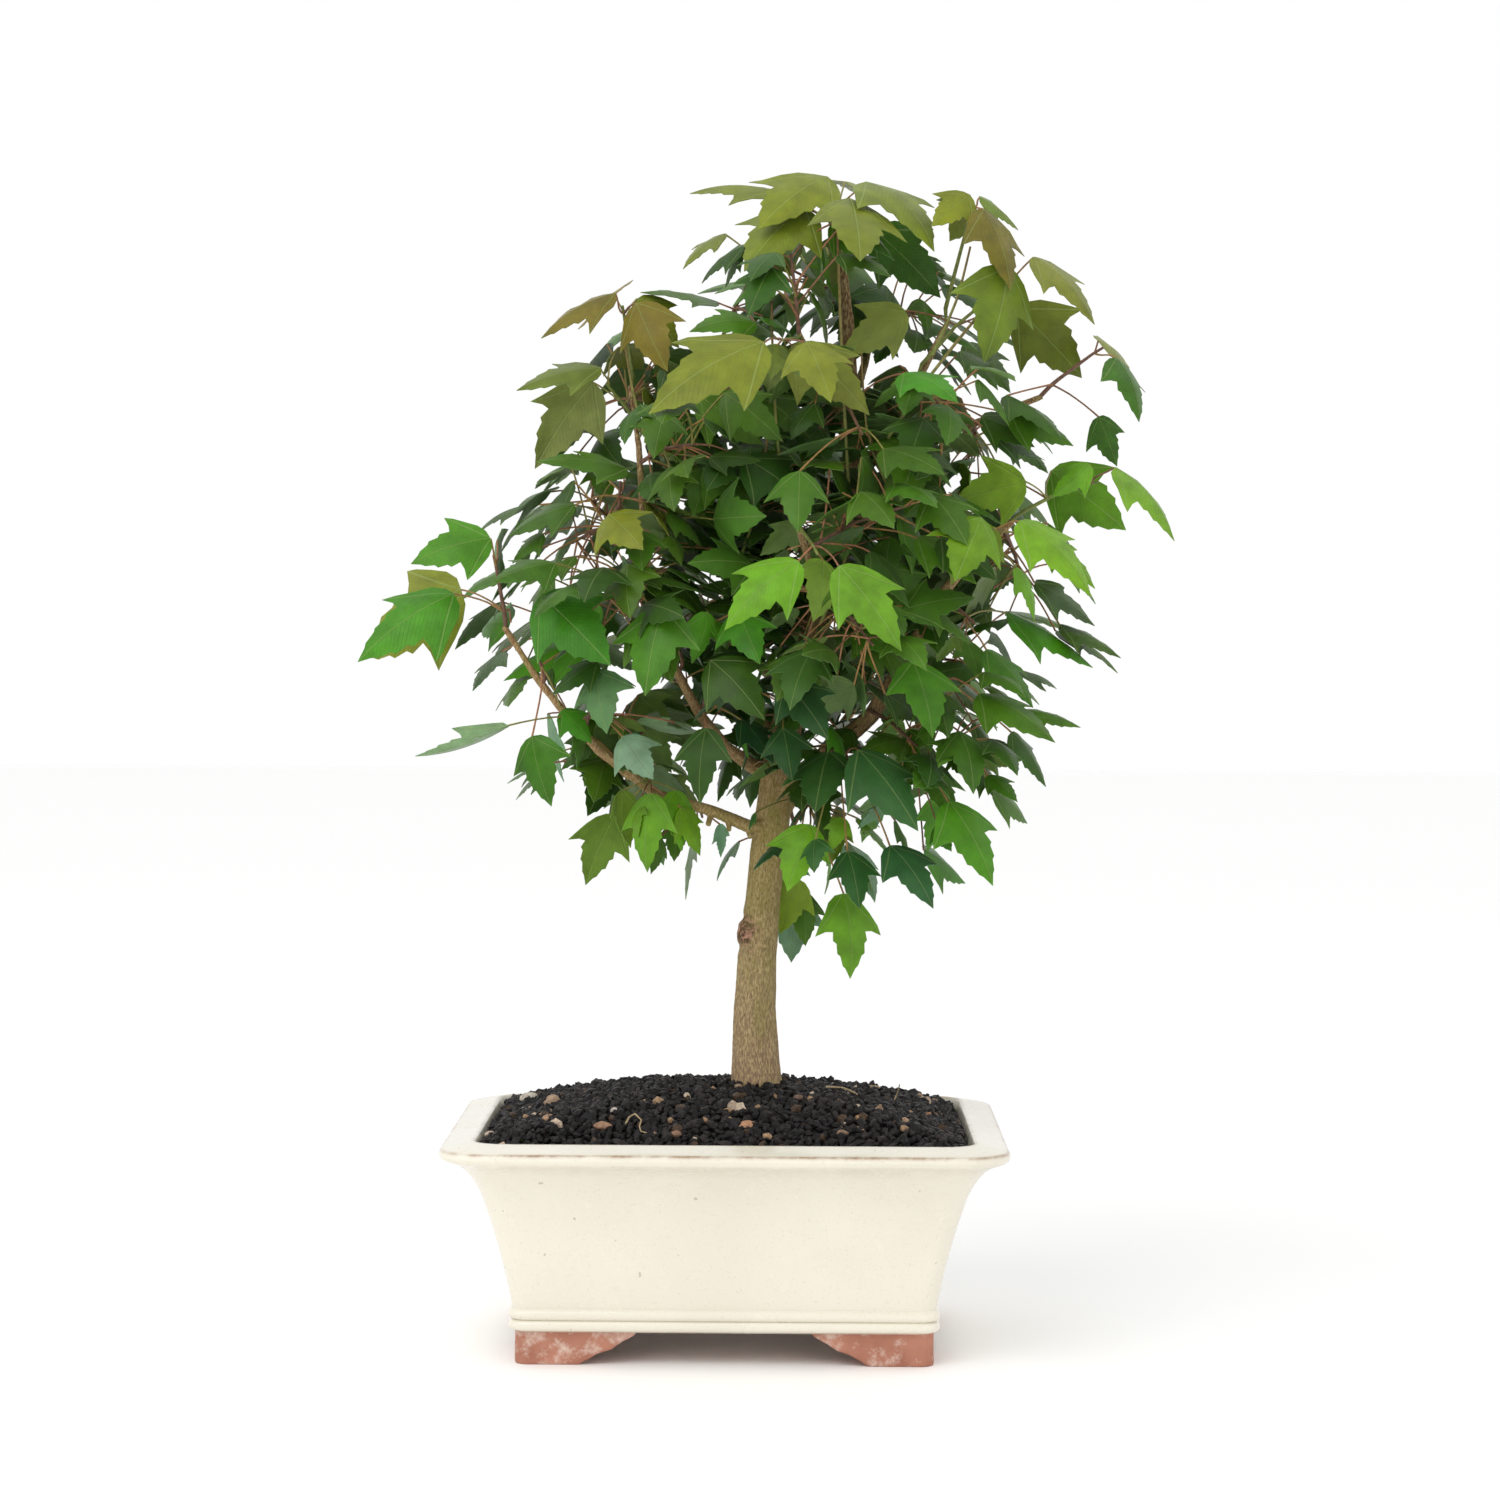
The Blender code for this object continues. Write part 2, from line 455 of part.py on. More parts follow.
# ---- Leafy shoots: a twig, its leaf stalks and its leaves, each shoot one grown piece ----
# A leaf row is (share of the twig, place of the blade's foot, place of its tip, roll in degrees).
SHOOTS = {
    "right_mid": ((91, -24, 218), (107, -30, 205), (
        (0.8, (123, 2, 210), (162, 6, 186), 0),
        (0.8, (112, -38, 194), (133, -50, 171), 0),
        (0.2, (79, -70, 189), (88, -88, 159), 0),
    )),
    "far_left": ((-99, -32, 213), (-102, -40, 234), (
        (0.2, (-119, -42, 217), (-160, -54, 189), 0),
        (0.2, (-122, -22, 219), (-172, -18, 188), 0),
        (0.9, (-103, -44, 241), (-137, -50, 230), 0),
        (0.9, (-102, -52, 240), (-111, -80, 225), 0),
        (0.9, (-97, -42, 241), (-85, -44, 226), 0),
        (0.9, (-101, -36, 242), (-101, -4, 236), 0),
        (0.2, (-99, -14, 205), (-119, 8, 201), 0),
    )),
    "left_pair": ((-80, -30, 179), (-83, -44, 191), (
        (0.5, (-84, -54, 156), (-76, -60, 126), 0),
        (0.9, (-80, -62, 216), (-49, -80, 187), 0),
        (0.5, (-62, -8, 196), (-100, -8, 179), 0),
    )),
    "left_pale": ((-63, -26, 159), (-59, -44, 168), (
        (0.3, (-98, -64, 161), (-138, -72, 148), 180),
        (0.3, (-81, 4, 164), (-76, 10, 133), 0),
        (0.9, (-45, -56, 156), (-31, -70, 138), 0),
        (0.9, (-56, -52, 184), (-52, -66, 158), 0),
    )),
    "left_hanging": ((-38, -22, 136), (-40, -28, 130), (
        (0.5, (-48, -12, 120), (-61, -8, 89), 90),
        (0.5, (-33, -42, 131), (-35, -46, 97), 0),
    )),
    "left_behind": ((-14, -12, 125), (-12, 8, 118), (
        (0.6, (-15, 18, 112), (-19, 20, 80), 0),
        (0.6, (10, 28, 107), (5, 34, 81), 0),
    )),
    "left_inner": ((-12, -20, 168), (-10, -48, 170), (
        (0.5, (-9, -60, 160), (-12, -68, 128), 0),
        (0.9, (-7, -72, 189), (16, -90, 166), 0),
    )),
    "left_bright": ((-21, -24, 183), (-25, -56, 204), (
        (0.5, (4, -60, 210), (14, -84, 188), 0),
        (0.9, (-27, -74, 212), (-34, -88, 174), 0),
        (0.5, (-56, -40, 213), (-67, -30, 189), 0),
    )),
    "left_shoulder": ((-49, -30, 257), (-47, -40, 266), (
        (0.6, (-44, -48, 271), (-82, -64, 273), 0),
        (0.6, (-46, -60, 266), (-70, -88, 258), 0),
        (0.1, (-67, -34, 256), (-96, -34, 242), 0),
        (0.1, (-51, -62, 251), (-36, -86, 237), 0),
    )),
    "left_lower_umbrella": ((-38, -18, 285), (-54, -32, 309), (
        (0.95, (-56, -38, 315), (-92, -46, 306), 0),
        (0.6, (-60, -20, 310), (-87, -10, 274), 80),
        (0.95, (-55, -44, 313), (-58, -76, 305), 0),
        (0.95, (-52, -28, 316), (-42, -2, 314), 0),
    )),
    "left_upper_umbrella": ((-43, -14, 314), (-47, -28, 343), (
        (0.95, (-50, -30, 348), (-83, -34, 330), 0),
        (0.95, (-48, -36, 347), (-48, -66, 326), 0),
        (0.95, (-43, -26, 348), (-18, -22, 335), 0),
        (0.95, (-47, -18, 350), (-39, 18, 350), 0),
    )),
    "crown_left": ((-8, -10, 321), (14, -6, 367), (
        (0.5, (-6, -8, 346), (-41, -18, 350), 0),
        (0.95, (-3, 0, 377), (-22, -6, 362), 0),
        (0.5, (11, -36, 335), (-17, -48, 332), 0),
    )),
    "crown_top": ((48, 0, 371), (47, -6, 393), (
        (0.9, (42, -10, 401), (12, -44, 374), 0),
        (0.9, (59, -8, 399), (90, -36, 370), 0),
        (0.9, (49, -24, 390), (47, -66, 358), 0),
        (0.9, (54, 8, 401), (78, 46, 397), 0),
        (0.4, (33, -22, 386), (6, -50, 357), 0),
        (0.4, (20, 6, 396), (-19, 14, 396), 0),
    )),
    "crown_right": ((48, 4, 358), (58, 12, 377), (
        (0.9, (63, 8, 380), (94, 20, 351), 80),
        (0.9, (53, 24, 388), (50, 60, 379), 0),
    )),
    "right_high_umbrella": ((94, -8, 338), (106, -20, 389), (
        (0.96, (104, -24, 392), (87, -36, 377), 0),
        (0.96, (107, -20, 392), (129, -12, 387), 0),
        (0.96, (105, -30, 389), (108, -64, 363), 0),
        (0.96, (105, -12, 394), (99, 22, 393), 0),
    )),
    "right_top": ((81, -10, 311), (125, -24, 357), (
        (0.95, (132, -24, 365), (158, -34, 335), 0),
        (0.95, (129, -32, 364), (137, -66, 332), 0),
        (0.95, (123, -26, 364), (113, -14, 354), 0),
        (0.45, (127, 6, 345), (157, 14, 315), 80),
    )),
    "far_right_top": ((139, 0, 309), (164, -10, 327), (
        (0.9, (169, -16, 322), (179, -30, 294), 0),
        (0.9, (162, -6, 330), (178, 18, 319), 0),
        (0.1, (121, -22, 305), (145, -42, 286), 0),
        (0.1, (164, 14, 298), (173, 20, 276), 80),
    )),
    "right_umbrella": ((123, -16, 251), (162, -14, 268), (
        (0.9, (169, -16, 274), (196, -22, 243), 0),
        (0.9, (162, -18, 275), (142, -24, 267), 0),
        (0.9, (163, -26, 274), (153, -56, 253), 0),
        (0.4, (144, 26, 274), (178, 22, 248), 80),
    )),
    "right_lime": ((103, -22, 233), (114, -62, 246), (
        (0.9, (107, -82, 250), (95, -106, 223), 0),
        (0.9, (121, -70, 249), (149, -86, 218), 0),
        (0.4, (134, -46, 242), (159, -50, 222), 0),
        (0.4, (136, -34, 230), (143, -40, 207), 0),
    )),
    "right_low": ((77, -22, 192), (97, -44, 179), (
        (0.9, (108, -56, 175), (140, -72, 156), 0),
        (0.9, (127, -42, 158), (141, -48, 134), 0),
        (0.5, (107, -26, 162), (120, -20, 137), 0),
    )),
    "right_hanging": ((62, -18, 167), (82, -46, 152), (
        (0.9, (95, -62, 129), (114, -78, 95), 0),
        (0.9, (90, -30, 103), (112, -30, 83), 0),
        (0.5, (92, -26, 130), (88, -22, 105), 0),
    )),
    "right_inner": ((49, -14, 155), (53, -44, 144), (
        (0.8, (56, -66, 151), (81, -84, 117), 0),
        (0.8, (70, -62, 110), (88, -78, 84), 0),
        (0.5, (52, -56, 107), (57, -68, 83), 0),
    )),
    "trunk_front": ((31, 10, 129), (38, -20, 123), (
        (0.9, (36, -46, 118), (26, -56, 90), 0),
        (0.6, (51, -16, 86), (55, -22, 49), 0),
        (0.6, (65, -34, 121), (62, -40, 107), 0),
    )),
    "trunk_behind": ((27, 14, 123), (31, 24, 105), (
        (0.9, (29, 30, 81), (28, 34, 51), 0),
        (0.6, (54, 44, 104), (68, 52, 78), 0),
    )),
    "centre_lime": ((30, -78, 246), (38, -102, 234), (
        (0.8, (30, -110, 231), (-1, -120, 204), 0),
        (0.8, (45, -110, 229), (70, -120, 194), 0),
    )),
    "centre_low": ((22, -8, 154), (25, -56, 170), (
        (0.9, (25, -76, 180), (43, -92, 157), 0),
        (0.6, (24, -60, 160), (28, -68, 138), 0),
    )),
    "bronze_left": ((30, -40, 329), (23, -72, 325), (
        (0.9, (15, -84, 323), (-33, -100, 293), 0),
        (0.9, (28, -88, 323), (32, -112, 298), 0),
    )),
    "front_high": ((59, -30, 300), (57, -62, 286), (
        (0.9, (66, -72, 279), (91, -94, 267), 0),
        (0.9, (35, -92, 269), (37, -110, 244), 0),
        (0.5, (75, -60, 312), (97, -84, 301), 0),
    )),
}
# The leafier shoots inside and behind, each given by the place its tip reaches.
INNER_SHOOTS = {
    "right_high_front": (96, -34, 296), "right_high_back": (112, 34, 282), "right_front": (78, -62, 256),
    "right_outer": (132, 24, 222), "right_low_back": (112, 56, 186), "right_low_front": (104, -40, 150),
    "top_right": (86, 34, 346), "top_back": (26, 46, 366), "top_front": (26, -36, 366),
    "left_high_front": (-14, -52, 282), "left_high": (-46, 14, 300), "left_mid": (-70, -4, 240),
    "left_back": (-66, 48, 262), "left_outer_back": (-90, 36, 196), "left_front": (-52, -58, 214),
    "back": (20, 98, 280), "back_right": (78, 92, 226), "back_left": (-26, 100, 196),
    "centre_front": (62, -74, 196), "left_low_back": (-58, 40, 150),
}
# The line through the crown that leaves turn away from.
CROWN_X = 30.0
CROWN_Y = 0.0


class Crowd:
    """What already stands in the crown, so that a new twig or leaf is kept clear of it."""

    def __init__(self):
        self.members = []

    def add(self, points, polygons, owner):
        self.members.append((self.box(points), BVHTree.FromPolygons(points, polygons), owner))

    @staticmethod
    def box(points):
        low = [min(p[i] for p in points) for i in range(3)]
        high = [max(p[i] for p in points) for i in range(3)]
        return low, high

    def hits(self, points, polygons, skip=()):
        low, high = self.box(points)
        tree = None
        for (other_low, other_high), other, owner in self.members:
            if owner in skip:
                continue
            if any(low[i] > other_high[i] or high[i] < other_low[i] for i in range(3)):
                continue
            tree = tree or BVHTree.FromPolygons(points, polygons)
            if tree.overlap(other):
                return True
        return False


TUBE_FACES = [(0, 1, 5, 4), (1, 2, 6, 5), (2, 3, 7, 6), (3, 0, 4, 7), (3, 2, 1, 0), (4, 5, 6, 7)]
FAN = [(0, 1), (1, 2), (2, 3), (3, 4), (4, 5), (5, 6), (6, 0)]
BLADE_FACES = [(7, a, b) for a, b in FAN] + [(8, b, a) for a, b in FAN]


def ring_about(centre, along, across, half):
    """Four corners about a centre, turned anticlockwise about the line of growth."""
    up = along.cross(across).normalized()
    return [centre + half * corner for corner in (across, up, -across, -up)]


def bar(start, end, half, end_half=None):
    """A square bar between two points, for the test of what is in the way."""
    along = (end - start).normalized()
    across = along.orthogonal().normalized()
    return ring_about(start, along, across, half) + ring_about(end, along, across, end_half or half)


def blade(foot, tip, up, grow=0.0):
    """The blade's rim from its foot round to its foot, then its top and bottom middles."""
    along = tip - foot
    length = along.length
    along.normalize()
    across = up.cross(along).normalized()
    up = along.cross(across).normalized()

    def at(forward, side, lift):
        reach = length * forward + grow * (forward * 2 - 1)
        aside = length * side + math.copysign(grow, side) * (side != 0)
        return foot + along * reach + across * aside + up * length * lift

    rim = [at(0.0, 0, 0), at(0.12, 0.27, -0.01), at(0.46, 0.44, -0.07), at(1.0, 0, 0),
           at(0.46, -0.44, -0.07), at(0.12, -0.27, -0.01), at(0.0, -0.001, 0)]
    top = at(0.40, 0, 0.06) + up * (LEAF_THICKNESS / 2 + grow)
    bottom = at(0.40, 0, 0.06) - up * (LEAF_THICKNESS / 2 + grow)
    return rim + [top, bottom], across, up


def facing(foot, tip, roll):
    """The way a leaf's upper side looks: up, and out from the crown, square to its midrib."""
    out = Vector(((foot.x + tip.x) / 2 - CROWN_X, (foot.y + tip.y) / 2 - CROWN_Y, 0))
    out = out.normalized() if out.length > 1 else Vector((0, -1, 0))
    along = (tip - foot).normalized()
    look = Vector((0.62 * out.x, 0.62 * out.y - 0.18, 0.8))
    look -= along * look.dot(along)
    if look.length < 0.2:
        look = out - along * out.dot(along)
    return Matrix.Rotation(math.radians(roll), 3, along) @ look.normalized()


class Shoot:
    """One shoot as it grows: a square twig, and leaves drawn out of its sides."""

    def __init__(self, name, points):
        self.name = name
        self.points = points
        self.leaves = []
        self.length = sum((b - a).length for a, b in zip(points, points[1:]))

    def place(self, share):
        spans = [(b - a).length for a, b in zip(self.points, self.points[1:])]
        left = share * sum(spans)
        for (a, b), span in zip(zip(self.points, self.points[1:]), spans):
            if left <= span:
                return a + (b - a) * (left / span), (b - a).normalized()
            left -= span
        return self.points[-1].copy(), (self.points[-1] - self.points[-2]).normalized()

    def build(self):
        """Draw the twig out node by node, and each leaf from the side of its node that faces it."""
        bm = bmesh.new()
        shares = sorted({leaf[0] for leaf in self.leaves})
        start, along = self.place(0.0)
        across = along.orthogonal().normalized()
        cap = bm.faces.new([bm.verts.new(p) for p in ring_about(start, along, across, TWIG_RADIUS)])
        for share in shares:
            centre, turned = self.place(share)
            across = (along.rotation_difference(turned) @ across).normalized()
            along = turned
            size = TWIG_RADIUS * (1.0 - 0.35 * share)
            cap, _ = grow_face(bm, cap, ring_about(centre - along * NODE_HALF, along, across, size))
            cap, sides = grow_face(bm, cap, ring_about(centre + along * NODE_HALF, along, across, size))
            free = list(sides)
            here = [leaf for leaf in self.leaves if leaf[0] == share]
            for leaf in here:
                want = (leaf[1] - centre).normalized()
                side = max(free, key=lambda face: face.normal.dot(want))
                free.remove(side)
                draw_leaf(bm, side, *leaf[1:])
        end, turned = self.place(1.0)
        across = (along.rotation_difference(turned) @ across).normalized()
        if (end - centre).length > 2 * NODE_HALF:
            grow_face(bm, cap, ring_about(end, turned, across, TWIG_RADIUS * 0.5))
        bmesh.ops.holes_fill(bm, edges=[edge for edge in bm.edges if edge.is_boundary], sides=4)
        return solid(self.name, bm, LEAF)


NODE_HALF = 1.2
NODE_PITCH = 3.0
NODE_REACH = 3.4
FIRST_NODE = 6.0
STALK_ROOT = 1.6
KNEE_REACH = 1.6
TWIG_TRIES = 16
TWIG_STEP = 0.25
TWIG_LEAN = 5.0
TWIG_LEANS = (
    (0, 0, 0), (1, 0, 1), (-1, 0, 1), (0, 1, 1), (0, -1, 1), (2, 0, 0), (-2, 0, 0), (0, 2, 0), (0, -2, 0),
    (2, 2, 1), (-2, 2, 1), (2, -2, 1), (-2, -2, 1),
)


def grow_face(bm, face, ring):
    """Extrude a four-cornered face and set its corners on a ring. Returns the new face and its sides."""
    grown = bmesh.ops.extrude_discrete_faces(bm, faces=[face])["faces"][0]
    corners = list(grown.verts)
    turns = [sum((corners[i].co - ring[(i + k) % 4]).length_squared for i in range(4)) for k in range(4)]
    turn = turns.index(min(turns))
    for i, corner in enumerate(corners):
        corner.co = ring[(i + turn) % 4]
    sides = [other for edge in grown.edges for other in edge.link_faces if other is not grown]
    for side in sides:
        side.normal_update()
    grown.normal_update()
    return grown, sides


def draw_leaf(bm, side, foot, tip, up):
    """Draw a leaf stalk out of a twig's side, and open its end into a blade."""
    points, across, up = blade(foot, tip, up)
    along = (tip - foot).normalized()
    centre = side.calc_center_median()
    reach = foot - centre
    if reach.normalized().dot(side.normal) < 0.6:
        knee = centre + side.normal * KNEE_REACH + reach.normalized() * KNEE_REACH / 2
        line = (side.normal + reach.normalized()).normalized()
        spread = line.orthogonal().normalized()
        side, _ = grow_face(bm, side, ring_about(knee, line, spread, PETIOLE_RADIUS * 1.2))
    ring = ring_about(foot, along, across * -1, PETIOLE_RADIUS)
    end, _ = grow_face(bm, side, ring)
    left = min(end.verts, key=lambda v: (v.co - (foot + across * PETIOLE_RADIUS)).length)
    right = min(end.verts, key=lambda v: (v.co - (foot - across * PETIOLE_RADIUS)).length)
    over = min(end.verts, key=lambda v: (v.co - (foot + up * PETIOLE_RADIUS)).length)
    under = min(end.verts, key=lambda v: (v.co - (foot - up * PETIOLE_RADIUS)).length)
    bm.faces.remove(end)
    rim = [left] + [bm.verts.new(p) for p in points[1:6]] + [right]
    top, bottom = bm.verts.new(points[7]), bm.verts.new(points[8])
    for a, b in zip(rim + [over], rim[1:] + [over, left]):
        if a is not b:
            bm.faces.new((top, b, a))
    for a, b in zip(rim + [under], rim[1:] + [under, left]):
        if a is not b:
            bm.faces.new((bottom, a, b))


def swings(sizes, turns, lifts, rolls, slides):
    """Ways to shift a leaf, the least first: its size, three turns in degrees and a longer stalk."""
    weights = (-60, 0.8, 1.0, 0.5, 1.2)
    ways = itertools.product(sizes, turns, lifts, rolls, slides)
    return sorted(ways, key=lambda way: sum(weight * abs(step) for weight, step in zip(weights, way)))


GIVEN_WAYS = swings(
    (1.0, 0.85), (0, 8, -8, 16, -16, 26, -26, 40, -40), (0, 10, -10, 20, -20), (0, 25, -25), (0, 4, 8, 12),
)
INNER_WAYS = swings(
    (1.0, 0.85, 0.7, 0.55), (0, 15, -15, 30, -30, 45, -45), (0, 12, -12, 24, -24), (0, 25, -25), (0, 6),
)


def try_leaf(crowd, shoot, share, foot, tip, roll, ways):
    """Set a leaf as near its given place as there is room for. One with no room isn't grown."""
    own_twig = shoot.name + "_twig"
    own_roots = shoot.name + "_roots"
    wanted = share * shoot.length / NODE_PITCH
    first = math.ceil(FIRST_NODE / NODE_PITCH)
    last = max(first, int((shoot.length - NODE_HALF) / NODE_PITCH))
    for step in sorted(range(first, last + 1), key=lambda number: abs(number - wanted)):
        share = step * NODE_PITCH / shoot.length
        node, line = shoot.place(share)
        hub = bar(node - line * NODE_REACH / 2, node + line * NODE_REACH / 2, NODE_REACH)
        full = sum(leaf[0] == share for leaf in shoot.leaves) == 4
        if not full and not crowd.hits(hub, TUBE_FACES, (shoot.name, own_twig, own_roots)):
            break
    else:
        return
    for size, turn, lift, more_roll, slide in ways:
        along = (tip - foot) * size
        sideways = along.cross(Vector((0, 0, 1)))
        if sideways.length < 1e-3:
            sideways = Vector((1, 0, 0))
        shift = Matrix.Rotation(math.radians(turn), 3, "Z")
        shift = shift @ Matrix.Rotation(math.radians(lift), 3, sideways.normalized())
        new_foot = node + shift @ (foot - node + (foot - node).normalized() * slide)
        new_tip = new_foot + shift @ along
        up = facing(new_foot, new_tip, roll + more_roll)
        points, _, _ = blade(new_foot, new_tip, up, GAP)
        if crowd.hits(points, BLADE_FACES, (own_roots,)):
            continue
        thin = PETIOLE_RADIUS + GAP + 0.2
        stalk = bar(node + (new_foot - node).normalized(), new_foot, thin)
        if crowd.hits(stalk, TUBE_FACES, (own_twig, own_roots)):
            continue
        stalk = bar(node, new_foot, STALK_ROOT + GAP, thin)
        if crowd.hits(stalk, TUBE_FACES, (own_twig, own_roots, shoot.name)):
            continue
        crowd.add(blade(new_foot, new_tip, up)[0], BLADE_FACES, shoot.name)
        crowd.add(bar(node, new_foot, PETIOLE_RADIUS), TUBE_FACES, shoot.name)
        crowd.add(bar(node, new_foot, STALK_ROOT, PETIOLE_RADIUS), TUBE_FACES, own_roots)
        crowd.add(hub, TUBE_FACES, own_twig)
        shoot.leaves.append((share, new_foot, new_tip, up))
        return


def twig_from(crowd, tree, hint, tip, name):
    """Start a twig just clear of the wood nearest the hint, and bow it up to its tip."""
    spot, normal, _, _ = tree.find_nearest(hint)
    for lean, step in itertools.product(TWIG_LEANS, range(TWIG_TRIES)):
        end = tip + Vector(lean) * TWIG_LEAN
        start = spot + (normal * 0.7 + (end - spot).normalized() * 0.5) * (GAP + TWIG_STEP * step)
        middle = (start + end) / 2 + Vector((0, 0, 0.06 * (end - start).length))
        spans = ((start, middle), (middle, end))
        if not any(crowd.hits(bar(a, b, TWIG_RADIUS + GAP), TUBE_FACES) for a, b in spans):
            break
    for a, b in spans:
        crowd.add(bar(a, b, TWIG_RADIUS), TUBE_FACES, name + "_twig")
    return Shoot(name, [start, middle, end])


def shoots(trunk):
    """All the leafy shoots: those with given leaves first, then the plain ones round them."""
    crowd = Crowd()
    points = [vert.co / MM for vert in trunk.data.vertices]
    polygons = [tuple(face.vertices) for face in trunk.data.polygons]
    crowd.add(points, polygons, "wood")
    tree = BVHTree.FromPolygons(points, polygons)
    rng = random.Random(11)

    given = []
    for name, (hint, tip, leaves) in SHOOTS.items():
        made = twig_from(crowd, tree, on_tree(hint), on_tree(tip), "shoot_" + name)
        given.append((made, leaves))
    for made, leaves in given:
        for share, foot, tip, roll in leaves:
            try_leaf(crowd, made, share, on_tree(foot), on_tree(tip), roll, GIVEN_WAYS)
    inner = []
    for name, target in INNER_SHOOTS.items():
        inner.append(twig_from(crowd, tree, on_tree(target), on_tree(target), "shoot_inner_" + name))
    for pair in range(INNER_PAIRS):
        for made in inner:
            grow_pair(crowd, made, pair, rng)
    for made in [shoot for shoot, _ in given] + inner:
        made.build()


def grow_pair(crowd, made, pair, rng):
    """An opposite pair of leaves, a quarter turn on from the pair below it."""
    share = 0.14 + 0.81 * pair / (INNER_PAIRS - 1)
    node, along = made.place(share)
    across = along.orthogonal().normalized()
    across = Matrix.Rotation(math.radians(90 * pair + 20), 3, along) @ across
    for side in (1, -1):
        out = (across * side + along * 0.7 + Vector((0, 0, 0.2))).normalized()
        foot = node + out * INNER_STALK * rng.uniform(0.7, 1.25)
        sink = rng.uniform(-1.0, -0.35) + 0.3 * pair / INNER_PAIRS
        droop = Vector((out.x, out.y, 0)).normalized() * 0.8 + Vector((0, 0, sink))
        tip = foot + droop.normalized() * INNER_LEAF * rng.uniform(0.8, 1.15)
        roll = rng.uniform(-25, 25)
        try_leaf(crowd, made, share, foot, tip, roll, INNER_WAYS)


pot()
bed = soil()
boolean(bed, wood(clear=GAP))
pebbles(bed)
drainage(bed)
trunk = wood()
shoots(trunk)

# Stand the whole on its base: the origin goes to the middle of the box's floor.
bpy.context.view_layer.update()
corners = [
    made.matrix_world @ Vector(corner)
    for made in bpy.data.objects if made.type == "MESH" for corner in made.bound_box
]
low = [min(corner[i] for corner in corners) for i in range(3)]
high = [max(corner[i] for corner in corners) for i in range(3)]
frame.location = (-(low[0] + high[0]) / 2, -(low[1] + high[1]) / 2, -low[2])
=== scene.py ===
import itertools
import math

import bmesh
import bpy
import numpy as np
from mathutils import Matrix, Vector
from mathutils.bvhtree import BVHTree


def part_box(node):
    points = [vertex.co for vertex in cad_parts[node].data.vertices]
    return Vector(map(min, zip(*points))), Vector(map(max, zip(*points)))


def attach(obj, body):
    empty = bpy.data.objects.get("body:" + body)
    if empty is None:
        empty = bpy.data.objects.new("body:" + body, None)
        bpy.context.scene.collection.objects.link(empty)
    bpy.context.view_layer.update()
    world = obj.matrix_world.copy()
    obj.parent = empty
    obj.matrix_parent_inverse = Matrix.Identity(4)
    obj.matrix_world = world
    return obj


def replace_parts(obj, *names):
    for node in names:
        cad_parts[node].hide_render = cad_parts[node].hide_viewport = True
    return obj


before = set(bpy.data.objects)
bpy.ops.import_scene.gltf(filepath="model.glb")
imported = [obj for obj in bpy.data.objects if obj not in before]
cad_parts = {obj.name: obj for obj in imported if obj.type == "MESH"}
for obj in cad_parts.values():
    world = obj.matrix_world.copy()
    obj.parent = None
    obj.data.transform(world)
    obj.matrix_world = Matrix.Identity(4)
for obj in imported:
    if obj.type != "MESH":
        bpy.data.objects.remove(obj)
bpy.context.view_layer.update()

MM = 0.001


# ---- Where the bonsai is seen from ----
# The tree stands at about arm's length and a little below eye level, and is seen through a long
# lens, almost square to the pot's long side. The camera is set out from the pot's middle.
pot_low, pot_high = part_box("pot")
POT = (pot_low + pot_high) / 2
STAND_OFF = 1.6459
STEP_RIGHT = 0.0254
EYE_HEIGHT = 0.3237
YAW, ROLL, PITCH = -0.0098, 0.0051, -0.0371

look = Vector((math.sin(YAW) * math.cos(PITCH), math.cos(YAW) * math.cos(PITCH), math.sin(PITCH)))
right = Vector((math.cos(YAW), -math.sin(YAW), 0.0))
head = right.cross(look)
rolled_right = right * math.cos(ROLL) + head * math.sin(ROLL)
rolled_head = head * math.cos(ROLL) - right * math.sin(ROLL)
camera_data = bpy.data.cameras.new("camera")
camera_data.sensor_width = 36.0
camera_data.lens = 88.82
camera = bpy.data.objects.new("camera", camera_data)
bpy.context.scene.collection.objects.link(camera)
turn = Matrix((rolled_right, rolled_head, -look)).transposed().to_4x4()
turn.translation = Vector((POT.x + STEP_RIGHT, POT.y - STAND_OFF, EYE_HEIGHT))
camera.matrix_world = turn
bpy.context.scene.camera = camera


# ---- Pot body ----
# The pot is stoneware, pressed in one piece and dipped in a cream glaze down to the feet. Its wall is
# drawn up ring by ring from a flat base, out into a broad lip, and down the inside to the floor.
CORNER_STEPS = 8
SIDE_STEPS = 8
QUARTER = 2 * SIDE_STEPS + CORNER_STEPS
HALF_LENGTH = (pot_high.x - pot_low.x) / 2
HALF_DEPTH = (pot_high.y - pot_low.y) / 2
POT_HEIGHT = pot_high.z
BASE_Z = 14.2 * MM
BASE_INSET = 30.6 * MM
BAND_OUT = 1.6 * MM
BAND_CORNER = 7.2 * MM
WALL_BOW = 0.9 * MM
BOW_TOP_Z = POT_HEIGHT - 7.2 * MM
FLOOR_Z = 21.2 * MM
HOLE_RADIUS = 8.0 * MM
HOLE_SPACING = 78.0 * MM


def quarter_point(step, half_x, half_y, corner):
    """A point of a quarter of a round-cornered oblong, counted from its long end to its long side."""
    if step <= SIDE_STEPS:
        return half_x, (half_y - corner) * step / SIDE_STEPS
    if step <= SIDE_STEPS + CORNER_STEPS:
        angle = math.radians(90 * (step - SIDE_STEPS) / CORNER_STEPS)
        return half_x - corner + corner * math.cos(angle), half_y - corner + corner * math.sin(angle)
    return (half_x - corner) * (QUARTER - step) / SIDE_STEPS, half_y


